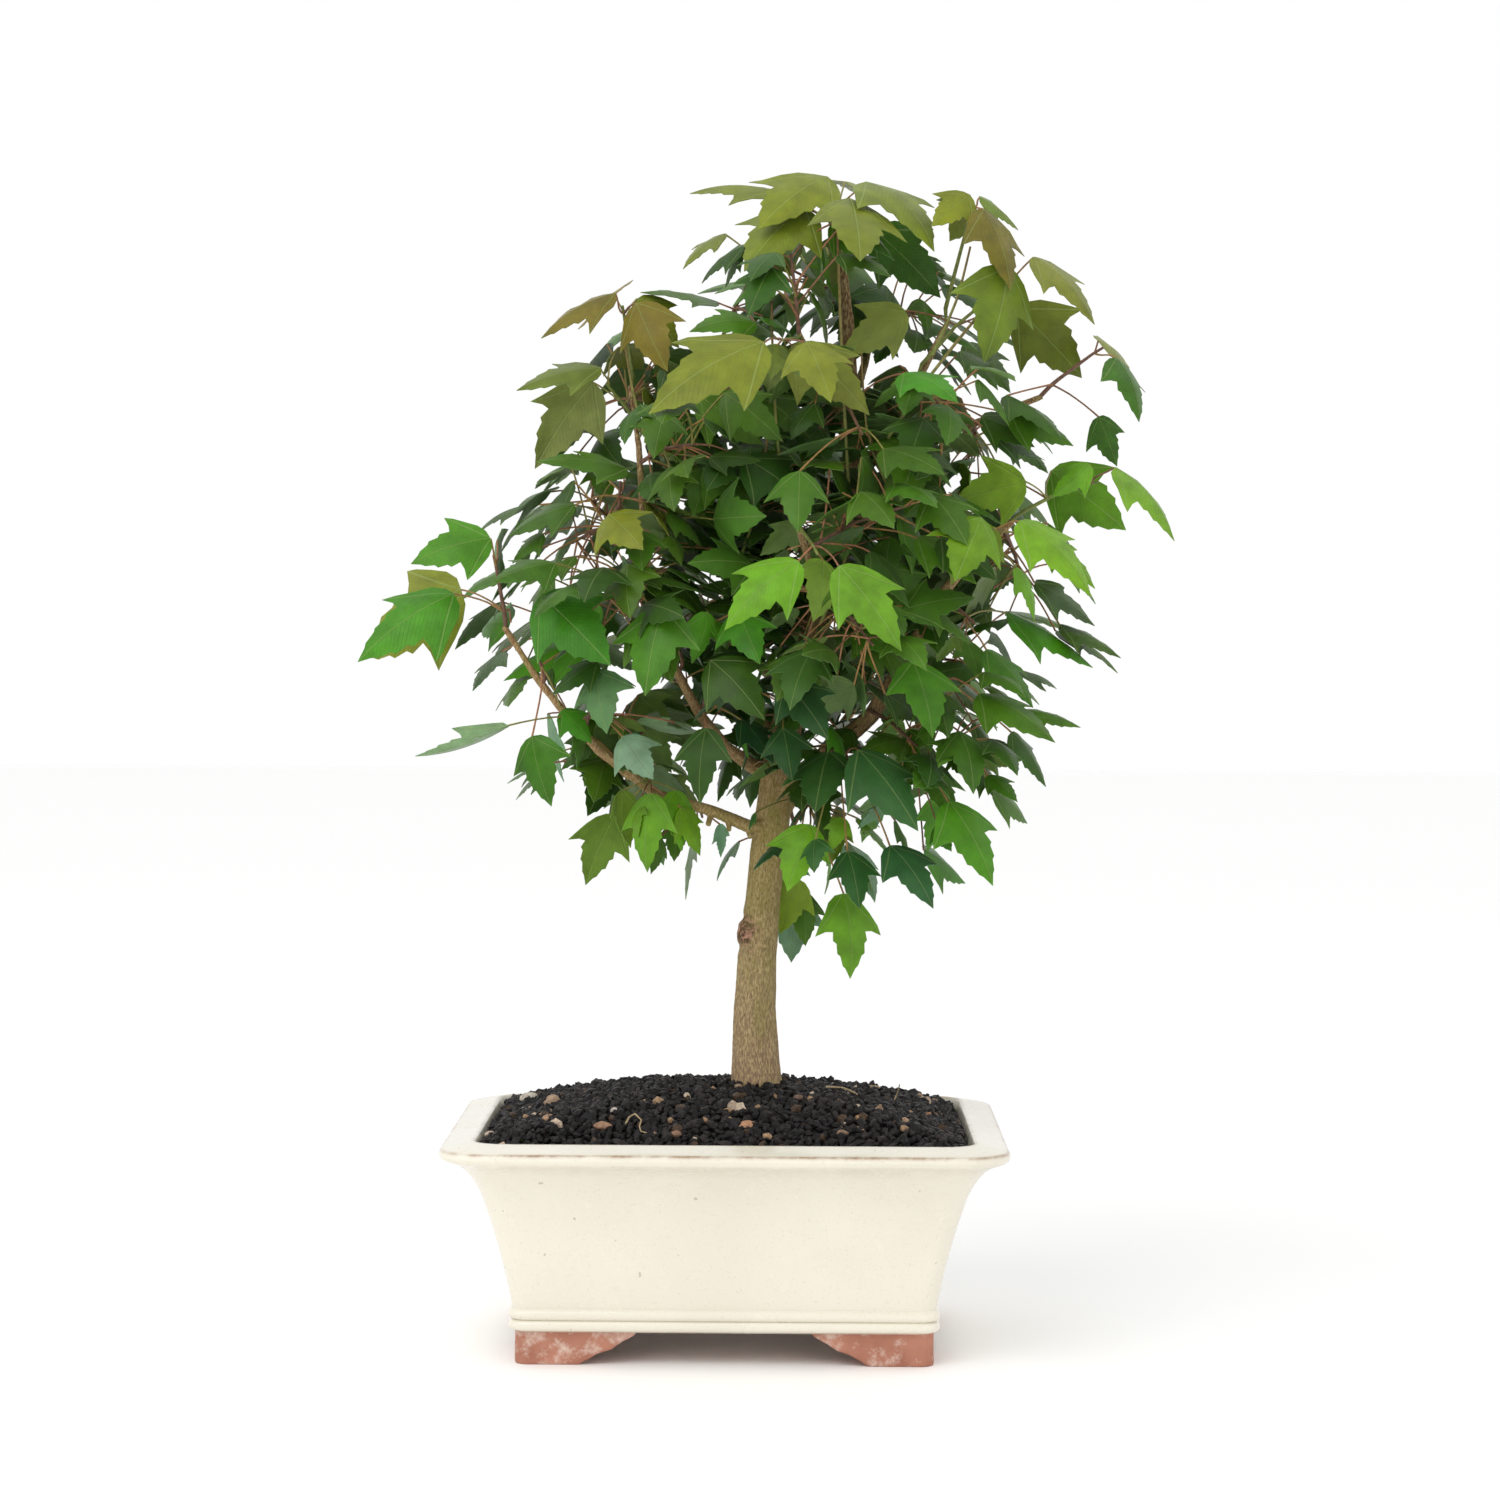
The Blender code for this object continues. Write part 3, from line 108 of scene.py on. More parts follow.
def oblong_point(step, half_x, half_y, corner):
    """A point of the whole round-cornered oblong, anticlockwise from its right-hand end."""
    quarter, part = divmod(step, QUARTER)
    if quarter % 2:
        part = QUARTER - part
    x, y = quarter_point(part, half_x, half_y, corner)
    return (-x if quarter in (1, 2) else x), (-y if quarter in (2, 3) else y)


def rings(datum, rows):
    """Rings from rows of inset, height over a datum and corner radius in mm, and a brown share that is the
    glaze's real break at the edges and painted shade in the cove under the lip.
    """
    return [(inset * MM, datum + rise * MM, corner * MM, shade_and_break) for inset, rise, corner, shade_and_break in rows]


def band_rings(low, high):
    """The rings of one raised round band, between two heights over the base in mm."""
    made = []
    for step in range(1, 8):
        angle = math.pi * step / 8
        rise = (low + high) / 2 - (high - low) / 2 * math.cos(angle)
        made.append((BASE_INSET - BAND_OUT * math.sin(angle), BASE_Z + rise * MM, BAND_CORNER, 0.0))
    return made


# Each ring is its inset from the lip's edge, its height, its corner radius and its brown share: the glaze's
# real break at the lip's arrises, inner edge and foot, and painted shade in the cove under the lip.
POT_RINGS = rings(BASE_Z, [(31.6, 0.0, 6.0, 0.6), (30.8, 0.5, 6.5, 0.4)])
POT_RINGS += band_rings(0.6, 5.0) + rings(BASE_Z, [(30.7, 5.2, 6.6, 0.0)])
POT_RINGS += band_rings(5.4, 9.8) + rings(BASE_Z, [(30.7, 10.2, 6.6, 0.0), (30.4, 11.4, 6.8, 0.0)])
for share in (0.12, 0.3, 0.5, 0.7, 0.85, 1.0):
    inset = BASE_INSET * (0.985 - 0.185 * share ** 1.15)
    POT_RINGS.append((inset, BASE_Z + (11.4 + share * 26.6) * MM, 8.0 * MM, 0.0))
POT_RINGS += rings(POT_HEIGHT, [
    (22.032, -36.5, 8.6, 0.0), (19.584, -28.5, 9.0, 0.0), (17.442, -22.2, 9.6, 0.0),
    # The brown shares in the cove under the lip, from inset 10.6 mm out to 0.6 mm, are painted shade; those
    # at the lip's arrises, its inner edge and the foot are the glaze's real break.
    (15.453, -18.2, 10.6, 0.0), (13.158, -14.8, 12.0, 0.0), (10.557, -12.0, 14.5, 0.16),
    (7.497, -9.9, 17.0, 0.3), (4.59, -8.7, 19.0, 0.34),
    (1.8, -7.5, 20.5, 0.25), (0.6, -6.7, 21.5, 0.1), (0.05, -5.4, 22.0, 0.0), (0.0, -5.2, 22.0, 0.0),
    (0.1, -4.1, 22.0, 0.3), (0.5, -3.2, 21.6, 1.0), (1.2, -2.8, 21.0, 0.9), (2.2, -2.45, 20.4, 0.2),
    (5.0, -1.8, 18.6, 0.0), (8.5, -1.15, 16.4, 0.0), (12.0, -0.5, 14.4, 0.0), (13.4, -0.2, 13.6, 0.25),
    (14.4, 0.0, 13.0, 0.7), (15.1, -0.4, 12.2, 0.6), (15.6, -1.4, 11.4, 0.1), (16.0, -3.4, 10.6, 0.0),
    (20.9, -28.25, 9.0, 0.0),
])
POT_RINGS += rings(FLOOR_Z, [(36.1, 4.0, 9.0, 0.0), (39.6, 0.0, 7.0, 0.0)])


def edit_all():
    """Open the active piece for editing, with all of it selected."""
    bpy.ops.object.mode_set(mode="EDIT")
    bpy.ops.mesh.select_all(action="SELECT")


def choose(*pieces):
    """Select these pieces and no others, with the last of them active."""
    bpy.ops.object.select_all(action="DESELECT")
    for piece in pieces:
        piece.select_set(True)
    bpy.context.view_layer.objects.active = pieces[-1]


bpy.ops.object.select_all(action="DESELECT")
bpy.ops.mesh.primitive_circle_add(vertices=4 * QUARTER, radius=HALF_LENGTH, fill_type="NGON")
pot_body = bpy.context.object
pot_body.name = "pot_glazed_body"
edit_all()
pot_mesh = bmesh.from_edit_mesh(pot_body.data)
place_in_ring = pot_mesh.verts.layers.int.new("place_in_ring")
glaze_break_and_cove_shade = pot_mesh.verts.layers.float.new("glaze_break_and_cove_shade")
for vert in pot_mesh.verts:
    turns = math.atan2(vert.co.y, vert.co.x) / (2 * math.pi)
    vert[place_in_ring] = round(turns * 4 * QUARTER) % (4 * QUARTER)
for number, (inset, height, corner, shade_and_break) in enumerate(POT_RINGS):
    if number:
        bpy.ops.mesh.extrude_region_move(TRANSFORM_OT_translate={"value": (0, 0, 0.5 * MM)})
        pot_mesh = bmesh.from_edit_mesh(pot_body.data)
        place_in_ring = pot_mesh.verts.layers.int["place_in_ring"]
        glaze_break_and_cove_shade = pot_mesh.verts.layers.float["glaze_break_and_cove_shade"]
    for vert in pot_mesh.verts:
        if vert.select:
            x, y = oblong_point(vert[place_in_ring], HALF_LENGTH - inset, HALF_DEPTH - inset, corner)
            bow = 0.0
            if height < BOW_TOP_Z and abs(y) > abs(x) * 0.6:
                bow = math.copysign(WALL_BOW * (1 - (x / HALF_LENGTH) ** 2), y)
            vert.co = (POT.x + x, POT.y + y + bow, height)
            # The share stored here is the glaze's real break at its edges and, in the cove under the lip,
            # painted shade.
            vert[glaze_break_and_cove_shade] = shade_and_break
    bmesh.update_edit_mesh(pot_body.data)
bpy.ops.mesh.select_all(action="DESELECT")
bpy.ops.mesh.select_non_manifold(extend=False)
bpy.ops.mesh.edge_face_add()
bpy.ops.mesh.select_all(action="SELECT")
bpy.ops.mesh.normals_make_consistent(inside=False)
bpy.ops.object.mode_set(mode="OBJECT")
for side in (-1, 1):
    hole = (POT.x + side * HOLE_SPACING / 2, POT.y, FLOOR_Z)
    bpy.ops.mesh.primitive_cylinder_add(vertices=40, radius=HOLE_RADIUS, depth=20 * MM, location=hole)
    drill = bpy.context.object
    cut = pot_body.modifiers.new("drain_hole", "BOOLEAN")
    cut.operation = "DIFFERENCE"
    cut.object = drill
    choose(pot_body)
    bpy.ops.object.modifier_apply(modifier=cut.name)
    bpy.data.objects.remove(drill, do_unlink=True)
bpy.ops.object.shade_smooth_by_angle(angle=math.radians(50))


class Finish:
    """A material built up from patterns that follow the place of each point on its piece."""

    def __init__(self, name, roughness):
        self.material = bpy.data.materials.new(name)
        self.material.use_nodes = True
        self.shader = self.material.node_tree.nodes["Principled BSDF"]
        self.fix("Roughness", roughness)
        self.place = self.node("TexCoord").outputs["Object"]

    def fix(self, name, value):
        """Give the shader a constant."""
        self.shader.inputs[name].default_value = value

    def feed(self, name, output):
        """Let a pattern drive the shader."""
        self.material.node_tree.links.new(output, self.shader.inputs[name])

    def node(self, kind, inputs=(), **settings):
        """A node with its settings made, and its inputs joined to other nodes or given a value."""
        made = self.material.node_tree.nodes.new("ShaderNode" + kind)
        for name, value in settings.items():
            setattr(made, name, value)
        for name, value in dict(inputs).items():
            if isinstance(value, bpy.types.NodeSocket):
                self.material.node_tree.links.new(value, made.inputs[name])
            else:
                made.inputs[name].default_value = value
        return made

    def stored(self, name, output="Fac"):
        """A share or a colour that is stored at the piece's points."""
        return self.node("Attribute", attribute_name=name).outputs[output]

    def noise(self, scale, detail=3.0, roughness=0.5, stretch=None):
        """A soft random pattern, so many changes to the metre, which may be drawn out along an axis."""
        place = self.place
        if stretch:
            place = self.node("Mapping", {"Vector": place, "Scale": stretch}).outputs["Vector"]
        inputs = {"Vector": place, "Scale": scale, "Detail": detail, "Roughness": roughness}
        return self.node("TexNoise", inputs).outputs["Fac"]

    def ramp(self, value, *stops):
        """Colours or greys that follow a value from 0 to 1."""
        made = self.node("ValToRGB", {"Fac": value})
        band = made.color_ramp
        while len(band.elements) < len(stops):
            band.elements.new(0.5)
        for element, (position, colour) in zip(band.elements, stops):
            element.position = position
            element.color = (*colour, 1.0) if isinstance(colour, tuple) else (colour, colour, colour, 1.0)
        return made.outputs["Color"]

    def mottle(self, dark, light, *pattern):
        """Two colours or greys that run into each other by a soft random pattern."""
        return self.ramp(self.noise(*pattern), (0.3, dark), (0.7, light))

    def mixed(self, share, first, second, blend="MIX"):
        """Two colours mixed by a share."""
        first, second = ((*part, 1.0) if isinstance(part, tuple) else part for part in (first, second))
        inputs = {0: share, 6: first, 7: second}
        return self.node("Mix", inputs, data_type="RGBA", blend_type=blend).outputs[2]

    def maths(self, operation, first, second=0.0, clamp=False):
        """One sum on one or two values."""
        return self.node("Math", {0: first, 1: second}, operation=operation, use_clamp=clamp).outputs[0]

    def bump(self, height, strength, distance):
        """Small relief on a surface."""
        made = self.node("Bump", {"Height": height, "Strength": strength, "Distance": distance})
        self.feed("Normal", made.outputs["Normal"])

    def cover(self, piece):
        """Put this finish on a piece."""
        piece.data.materials.append(self.material)


glaze = Finish("cream_glaze", 0.22)
glaze.fix("Coat Weight", 0.35)
glaze.fix("Coat Roughness", 0.08)
cloudy = glaze.mottle((0.76, 0.715, 0.6), (0.82, 0.775, 0.66), 14.0)
specks = glaze.ramp(glaze.noise(900.0, 2.0), (0.6, 0.0), (0.72, 0.2))
flecked = glaze.mixed(specks, cloudy, (0.5, 0.42, 0.28))
pits = glaze.ramp(glaze.noise(300.0, 1.0), (0.775, 0.0), (0.8, 0.5))
pitted = glaze.mixed(pits, flecked, (0.34, 0.26, 0.17))
# Brown is mixed into the glaze by the stored share: the real glaze break at the lip's edges and the foot, and
# painted shade in the cove under the lip.
patchy = glaze.ramp(glaze.noise(70.0, 4.0, 0.65), (0.38, 0.15), (0.62, 1.0))
edge_break_and_shade = glaze.maths("POWER", glaze.stored("glaze_break_and_cove_shade"), 1.6)
brown_break_and_shade_share = glaze.maths("MULTIPLY", edge_break_and_shade, patchy, clamp=True)
glaze.feed("Base Color", glaze.mixed(brown_break_and_shade_share, pitted, (0.36, 0.23, 0.14)))
glaze.feed("Roughness", glaze.mottle(0.18, 0.3, 40.0))
orange_peel = glaze.maths("MULTIPLY", glaze.noise(750.0, 2.0), 0.22)
glaze.bump(glaze.maths("ADD", glaze.noise(60.0, 2.0), orange_peel), 0.16, 0.002)
glaze.cover(pot_body)
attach(pot_body, "root")
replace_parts(pot_body, "pot")


# ---- Pot feet ----
# Four angle feet of bare clay stand under the corners, part of the same pressing. They were wiped clean
# of glaze before firing, so they show the red body, rubbed and dusted with pale deposits.
def piece_copy(node_name, name):
    """A copy of a frame node, free of it, selected and active, with its corners merged."""
    made = bpy.data.objects.new(name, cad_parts[node_name].data.copy())
    bpy.context.scene.collection.objects.link(made)
    choose(made)
    edit_all()
    bpy.ops.mesh.remove_doubles(threshold=0.01 * MM)
    bpy.ops.object.mode_set(mode="OBJECT")
    made.data.materials.clear()
    return made


def wear(piece, name, size, strength):
    """Push a piece's surface in and out by a soft random pattern."""
    pattern = bpy.data.textures.new(name, "CLOUDS")
    pattern.noise_scale = size
    push = piece.modifiers.new(name, "DISPLACE")
    push.texture = pattern
    push.texture_coords = "GLOBAL"
    push.strength = strength
    bpy.ops.object.modifier_apply(modifier=push.name)


feet = piece_copy("pot", "pot_clay_feet")
edit_all()
bpy.ops.mesh.bisect(plane_co=(0, 0, BASE_Z + 0.2 * MM), plane_no=(0, 0, 1), clear_outer=True, use_fill=True)
bpy.ops.object.mode_set(mode="OBJECT")
feet.data.remesh_voxel_size = 0.9 * MM
bpy.ops.object.voxel_remesh()
soften = feet.modifiers.new("soften", "SMOOTH")
soften.factor = 0.5
soften.iterations = 5
bpy.ops.object.modifier_apply(modifier=soften.name)
wear(feet, "rough_clay", 0.006, 0.5 * MM)
for vert in feet.data.vertices:
    vert.co.z = max(vert.co.z, 0.0)
bpy.ops.object.shade_smooth()
clay = Finish("bare_clay", 0.85)
red_body = clay.mottle((0.34, 0.135, 0.085), (0.5, 0.225, 0.15), 60.0, 5.0)
dust = clay.ramp(clay.noise(95.0, 6.0, 0.7), (0.5, 0.0), (0.66, 0.85))
clay.feed("Base Color", clay.mixed(dust, red_body, (0.7, 0.56, 0.48)))
clay.bump(clay.noise(700.0, 4.0, 0.7), 0.5, 0.0006)
clay.cover(feet)
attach(feet, "root")


# ---- Drainage nets and their wires ----
# A square of black plastic net lies over each hole, and a bent aluminium wire holds it from below. They
# are as the frame has them, with the finish of moulded plastic and of soft bare wire.
net_plastic = Finish("black_net", 0.5)
net_plastic.feed("Base Color", net_plastic.mottle(0.012, 0.03, 300.0))
net_plastic.bump(net_plastic.noise(1500.0), 0.2, 0.0002)
wire_metal = Finish("aluminium_wire", 0.35)
wire_metal.fix("Metallic", 1.0)
wire_metal.feed("Base Color", wire_metal.mottle(0.55, 0.78, 500.0))
wire_metal.bump(wire_metal.noise(2500.0), 0.15, 0.0001)
for side in ("left", "right"):
    for node_name, finish in (("drainage_net_" + side, net_plastic), ("staple_" + side, wire_metal)):
        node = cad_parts[node_name]
        node.data.materials.clear()
        finish.cover(node)


# ---- Soil ----
# The soil is a mound of fine black fired grains, packed in round the trunk. Its mass is the frame's own
# mound with a broken surface, and the loose grains on top are one shape scattered by the thousand.
soil_low, soil_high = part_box("soil")
SOIL_HALF_X = (soil_high.x - soil_low.x) / 2
SOIL_HALF_Y = (soil_high.y - soil_low.y) / 2
SOIL_EDGE_Z = POT_HEIGHT - 3.2 * MM
CREST = POT_HEIGHT + 16.4 * MM
SURFACE_FROM_Z = POT_HEIGHT - 6.5 * MM
BED_SINK = 1.2 * MM
TRUNK_OUT = 13 * MM
TREE_FOOT = Vector((POT.x, POT.y, CREST))


def mound_height(x, y):
    """The soil's height over a point, counted from the pot's middle."""
    across = min(max(abs(x) / SOIL_HALF_X, abs(y) / SOIL_HALF_Y), 1.0)
    return SOIL_EDGE_Z + (CREST - SOIL_EDGE_Z) * (1 - across ** 1.8)


soil_bed = piece_copy("soil", "soil_bed")
for vert in soil_bed.data.vertices:
    if vert.co.z > SURFACE_FROM_Z:
        vert.co.z = max(vert.co.z, mound_height(vert.co.x - POT.x, vert.co.y - POT.y) - BED_SINK)
bpy.ops.object.shade_smooth_by_angle(angle=math.radians(40))
damp_soil = Finish("black_soil", 0.9)
damp_soil.feed("Base Color", damp_soil.mottle(0.006, 0.02, 500.0))
damp_soil.bump(damp_soil.noise(500.0, 4.0), 0.8, 0.002)
damp_soil.cover(soil_bed)
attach(soil_bed, "root")
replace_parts(soil_bed, "soil")

GRAIN_PITCH = 3.2 * MM
# Lift over the mound and the share of places that hold a grain, for the upper and the lower layer.
GRAIN_LAYERS = ((0.2 * MM, 1.0), (-1.4 * MM, 0.62))
GRAIN_TINTS = (
    (0.009, 0.007, 0.007), (0.02, 0.016, 0.015), (0.004, 0.003, 0.003), (0.06, 0.035, 0.02),
    (0.3, 0.19, 0.11), (0.46, 0.36, 0.27),
)
GRAIN_CHANCES = (0.4, 0.22, 0.33, 0.03, 0.013, 0.007)
TRUNK_CLEAR = 9.5 * MM
EDGE_CLEAR = 1.4 * MM
CORNER_CLEAR = 6 * MM
bpy.ops.object.select_all(action="DESELECT")
bpy.ops.mesh.primitive_ico_sphere_add(subdivisions=1, radius=1.0)
grain = bpy.context.object
grain_points = np.array([vert.co for vert in grain.data.vertices])
grain_faces = np.array([face.vertices[:] for face in grain.data.polygons])
bpy.data.objects.remove(grain, do_unlink=True)


def mesh_piece(name, points, faces, material_of_face=None):
    """A new object at the origin from points and faces."""
    mesh = bpy.data.meshes.new(name)
    mesh.from_pydata([tuple(point) for point in points], [], [tuple(face) for face in faces])
    if material_of_face is not None:
        mesh.polygons.foreach_set("material_index", material_of_face)
    made = bpy.data.objects.new(name, mesh)
    bpy.context.scene.collection.objects.link(made)
    return made


def paint(piece, name, values):
    """Give each point of a piece a colour of its own."""
    layer = piece.data.color_attributes.new(name, "FLOAT_COLOR", "POINT")
    rgba = np.ones((len(values), 4), np.float32)
    rgba[:, :3] = values
    layer.data.foreach_set("color", rgba.ravel())


rng = np.random.default_rng(7)
grain_sets, tint_sets = [], []
for layer_lift, keep in GRAIN_LAYERS:
    for x in np.arange(-SOIL_HALF_X + 1.2 * MM, SOIL_HALF_X - 1.0 * MM, GRAIN_PITCH):
        for y in np.arange(-SOIL_HALF_Y + 1.2 * MM, SOIL_HALF_Y - 1.0 * MM, GRAIN_PITCH):
            dx, dy, lift = rng.uniform(-0.5, 0.5, 3) * GRAIN_PITCH
            size = rng.uniform(1.2, 2.7, 3) * rng.choice((1.0, 1.4), p=(0.75, 0.25)) * MM
            spin = rng.normal(size=(3, 3))
            chance, tint = rng.random(), rng.choice(6, p=GRAIN_CHANCES)
            px, py = x + dx, y + dy
            from_end, from_side = SOIL_HALF_X - abs(px), SOIL_HALF_Y - abs(py)
            if chance > keep or (px - TRUNK_OUT) ** 2 + py ** 2 < TRUNK_CLEAR ** 2:
                continue
            if min(from_end, from_side) < EDGE_CLEAR or max(from_end, from_side) < CORNER_CLEAR:
                continue
            turned, _ = np.linalg.qr(spin)
            if np.linalg.det(turned) < 0:
                turned[:, 0] *= -1
            jagged = grain_points * rng.uniform(0.72, 1.15, (len(grain_points), 1)) * size
            centre = np.array((POT.x + px, POT.y + py, mound_height(px, py) + layer_lift + 0.35 * lift))
            grain_sets.append(jagged @ turned.T + centre)
            tint_sets.append(np.tile(GRAIN_TINTS[tint], (len(grain_points), 1)))
all_faces = np.concatenate([grain_faces + number * len(grain_points) for number in range(len(grain_sets))])
soil_grains = mesh_piece("soil_grains", np.concatenate(grain_sets), all_faces)
paint(soil_grains, "grain_tint", np.concatenate(tint_sets))
fired = Finish("soil_grain", 0.55)
fired.fix("Specular IOR Level", 0.25)
worn = fired.mottle(0.7, 1.5, 900.0)
fired.feed("Base Color", fired.mixed(1.0, fired.stored("grain_tint", "Color"), worn, "MULTIPLY"))
fired.bump(fired.noise(2200.0, 3.0), 0.5, 0.0003)
fired.cover(soil_grains)
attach(soil_grains, "root")


# ---- Pebbles and bits ----
# A few tan and orange stones, baked clay chips and bits of husk lie half sunk among the grains. Each is
# a rounded lump, worn uneven, in its own size and tint.
PEBBLE_TINTS = {
    "pebble_left_large": (0.34, 0.23, 0.15), "pebble_left_flat": (0.36, 0.22, 0.13),
    "pebble_middle": (0.36, 0.27, 0.2), "pebble_orange": (0.42, 0.22, 0.12),
    "pebble_right_back": (0.45, 0.33, 0.24),
}
# Loose bits: share of the half length, share of the half depth, size in X, Y and Z in mm, and tint.
BITS = (
    (-0.73, -0.62, (6.0, 5.0, 4.0), (0.4, 0.24, 0.15)), (-0.5, -0.78, (8.5, 5.0, 3.6), (0.3, 0.17, 0.1)),
    (-0.46, -0.6, (4.0, 4.0, 3.0), (0.52, 0.46, 0.4)), (0.86, -0.05, (7.0, 3.4, 3.0), (0.28, 0.14, 0.07)),
    (0.62, 0.5, (9.0, 2.6, 2.2), (0.45, 0.33, 0.18)), (-0.2, -0.86, (5.0, 3.5, 3.0), (0.26, 0.15, 0.09)),
    (0.3, -0.4, (4.4, 3.6, 3.0), (0.16, 0.1, 0.07)), (0.48, -0.84, (5.5, 3.2, 2.8), (0.22, 0.13, 0.08)),
    (-0.87, 0.58, (9.5, 6.5, 5.5), (0.6, 0.53, 0.44)), (0.2, 0.7, (7.0, 5.0, 4.0), (0.36, 0.25, 0.17)),
    (-0.35, 0.62, (6.5, 5.5, 4.4), (0.4, 0.28, 0.2)), (0.74, -0.62, (4.0, 3.6, 3.0), (0.34, 0.22, 0.14)),
    (-0.6, 0.1, (4.2, 3.4, 2.8), (0.18, 0.11, 0.07)), (0.05, -0.2, (3.8, 3.0, 2.6), (0.3, 0.2, 0.13)),
)


def lump(name, centre, size, tint, number):
    """A worn little stone as big as size, from a fine round ball."""
    bpy.ops.object.select_all(action="DESELECT")
    bpy.ops.mesh.primitive_ico_sphere_add(subdivisions=4, radius=0.5)
    made = bpy.context.object
    made.name = name
    edit_all()
    bpy.ops.transform.resize(value=tuple(size))
    bpy.ops.transform.translate(value=tuple(centre))
    bpy.ops.object.mode_set(mode="OBJECT")
    wear(made, name + "_lumps", 0.35 * max(size), 0.3 * min(size))
    wear(made, name + "_chips", 0.12 * max(size), 0.1 * min(size))
    bpy.ops.object.shade_smooth()
    stone = Finish(name, 0.8)
    dark = tuple(0.55 * part for part in tint)
    light = tuple(min(1.35 * part, 0.9) for part in tint)
    grit = stone.noise(260.0 + 17 * number, 5.0, 0.65)
    stone.feed("Base Color", stone.ramp(grit, (0.32, dark), (0.5, tint), (0.68, light)))
    stone.bump(stone.noise(1800.0, 3.0), 0.4, 0.0003)
    stone.cover(made)
    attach(made, "root")
    return made


for number, (name, tint) in enumerate(PEBBLE_TINTS.items()):
    low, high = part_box(name)
    stone = lump(name + "_stone", (low + high) / 2, (high - low) * 0.96, tint, number)
    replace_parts(stone, name)
for number, (share_x, share_y, size, tint) in enumerate(BITS):
    x, y = share_x * SOIL_HALF_X, share_y * SOIL_HALF_Y
    centre = Vector((POT.x + x, POT.y + y, mound_height(x, y) + 1.2 * MM))
    lump(f"bit_{number + 1:02d}", centre, Vector(size) * MM, tint, number + 10)


# ---- Trunk, branches and knot ----
# The wood is one grown piece: a leaning trunk with a healed knot low on its left, and branches that
# spread from it. The frame's wood is remade as one even skin, so that its joints flow, and then grained.
wood = piece_copy("trunk_and_branches", "trunk_wood")
# Stubs of cut twigs: place in X, Y and height over the soil in mm, direction, length and radius in mm.
STUBS = (
    ((-8.0, -15.0, 119.5), (-0.2, -0.6, -0.8), 3.0, 1.1), ((0.0, -12.0, 117.0), (0.1, -0.5, -0.9), 2.8, 1.0),
    ((9.0, -8.0, 113.6), (0.2, -0.6, -0.8), 3.0, 1.2), ((-45.0, -23.5, 138.0), (-0.5, -0.6, 0.5), 3.4, 1.0),
    ((16.0, -7.5, 62.0), (0.4, -0.9, 0.1), 2.0, 1.6), ((66.0, -20.0, 171.0), (0.4, -0.8, -0.4), 3.0, 1.2),
)
for spot, way, length, radius in STUBS:
    bpy.ops.object.select_all(action="DESELECT")
    start = TREE_FOOT + Vector(spot) * MM
    bpy.ops.mesh.primitive_cone_add(
        vertices=10, radius1=radius * 1.3 * MM, radius2=radius * MM, depth=length * 2 * MM,
        location=start + Vector(way).normalized() * length * MM / 2,
        rotation=Vector(way).to_track_quat("Z", "Y").to_euler(),
    )
    stub = bpy.context.object
    bpy.ops.object.transform_apply(location=True, rotation=True, scale=True)
    choose(stub, wood)
    bpy.ops.object.join()
wood.data.remesh_voxel_size = 0.82 * MM
bpy.ops.object.voxel_remesh()
soften = wood.modifiers.new("soften", "LAPLACIANSMOOTH")
soften.lambda_factor = 0.6
soften.iterations = 6
bpy.ops.object.modifier_apply(modifier=soften.name)
points = np.array([vert.co for vert in wood.data.vertices])
normals = np.array([vert.normal for vert in wood.data.vertices])

# The knot is a swirl of ridges round a pit, and the foot of the trunk is lightly fluted.
KNOT = np.array((POT.x + 9.0 * MM, POT.y - 2.0 * MM, CREST + 67.0 * MM))
KNOT_SIZE = np.array((6.5, 8.5, 9.5)) * MM
from_knot = (points - KNOT) / KNOT_SIZE
ring_out = np.linalg.norm(from_knot, axis=1)
around = np.arctan2(from_knot[:, 2], from_knot[:, 1] + from_knot[:, 0])
swirl = np.sin(ring_out * 9.0 + around * 2.0) * np.exp(-ring_out ** 2)
from_trunk = points[:, 0] - POT.x - TRUNK_OUT
low_trunk = np.clip(1 - (points[:, 2] - CREST) / (110 * MM), 0, 1) * (np.abs(from_trunk) < 18 * MM)
fluting = np.sin(np.arctan2(points[:, 1] - POT.y, from_trunk) * 5 + points[:, 2] * 30) * low_trunk
relief = 0.7 * MM * swirl + 0.15 * MM * fluting - 1.1 * MM * np.exp(-(ring_out / 0.33) ** 2)
points += normals * relief[:, None]
wood.data.vertices.foreach_set("co", points.astype(np.float32).ravel())
wear(wood, "bark_waves", 0.012, 0.55 * MM)
wear(wood, "bark_grain", 0.0022, 0.16 * MM)
ridges = 0.65 + 0.5 * np.sin(ring_out * 11.0 + around * 2.0)
share = np.clip(1.7 * np.exp(-(ring_out / 0.8) ** 2) * ridges, 0, 1)
paint(wood, "knot_share", share[:, None])
bpy.ops.object.shade_smooth()
bark = Finish("bark", 0.8)
bark.fix("Specular IOR Level", 0.2)
# The bark's colour follows its height: the lighter band at mid-height is painted light that makes up for the
# crown's shade on the trunk, and the bark grows darker towards the top.
rise = bark.node("SeparateXYZ", {"Vector": bark.place}).outputs["Z"]
tall = bark.node("MapRange", {"Value": rise, "From Min": 0.11, "From Max": 0.45}).outputs["Result"]
bark_height_tone_and_painted_light = bark.ramp(
    tall, (0.0, (0.25, 0.155, 0.1)), (0.1, (0.255, 0.175, 0.095)), (0.2, (0.26, 0.195, 0.085)),
    (0.34, (0.31, 0.225, 0.075)), (0.44, (0.29, 0.165, 0.075)), (1.0, (0.16, 0.085, 0.04)),
)
streaks = bark.ramp(bark.noise(1500.0, 3.0, 0.6, (1.0, 1.0, 0.3)), (0.43, 0.0), (0.66, 0.8))
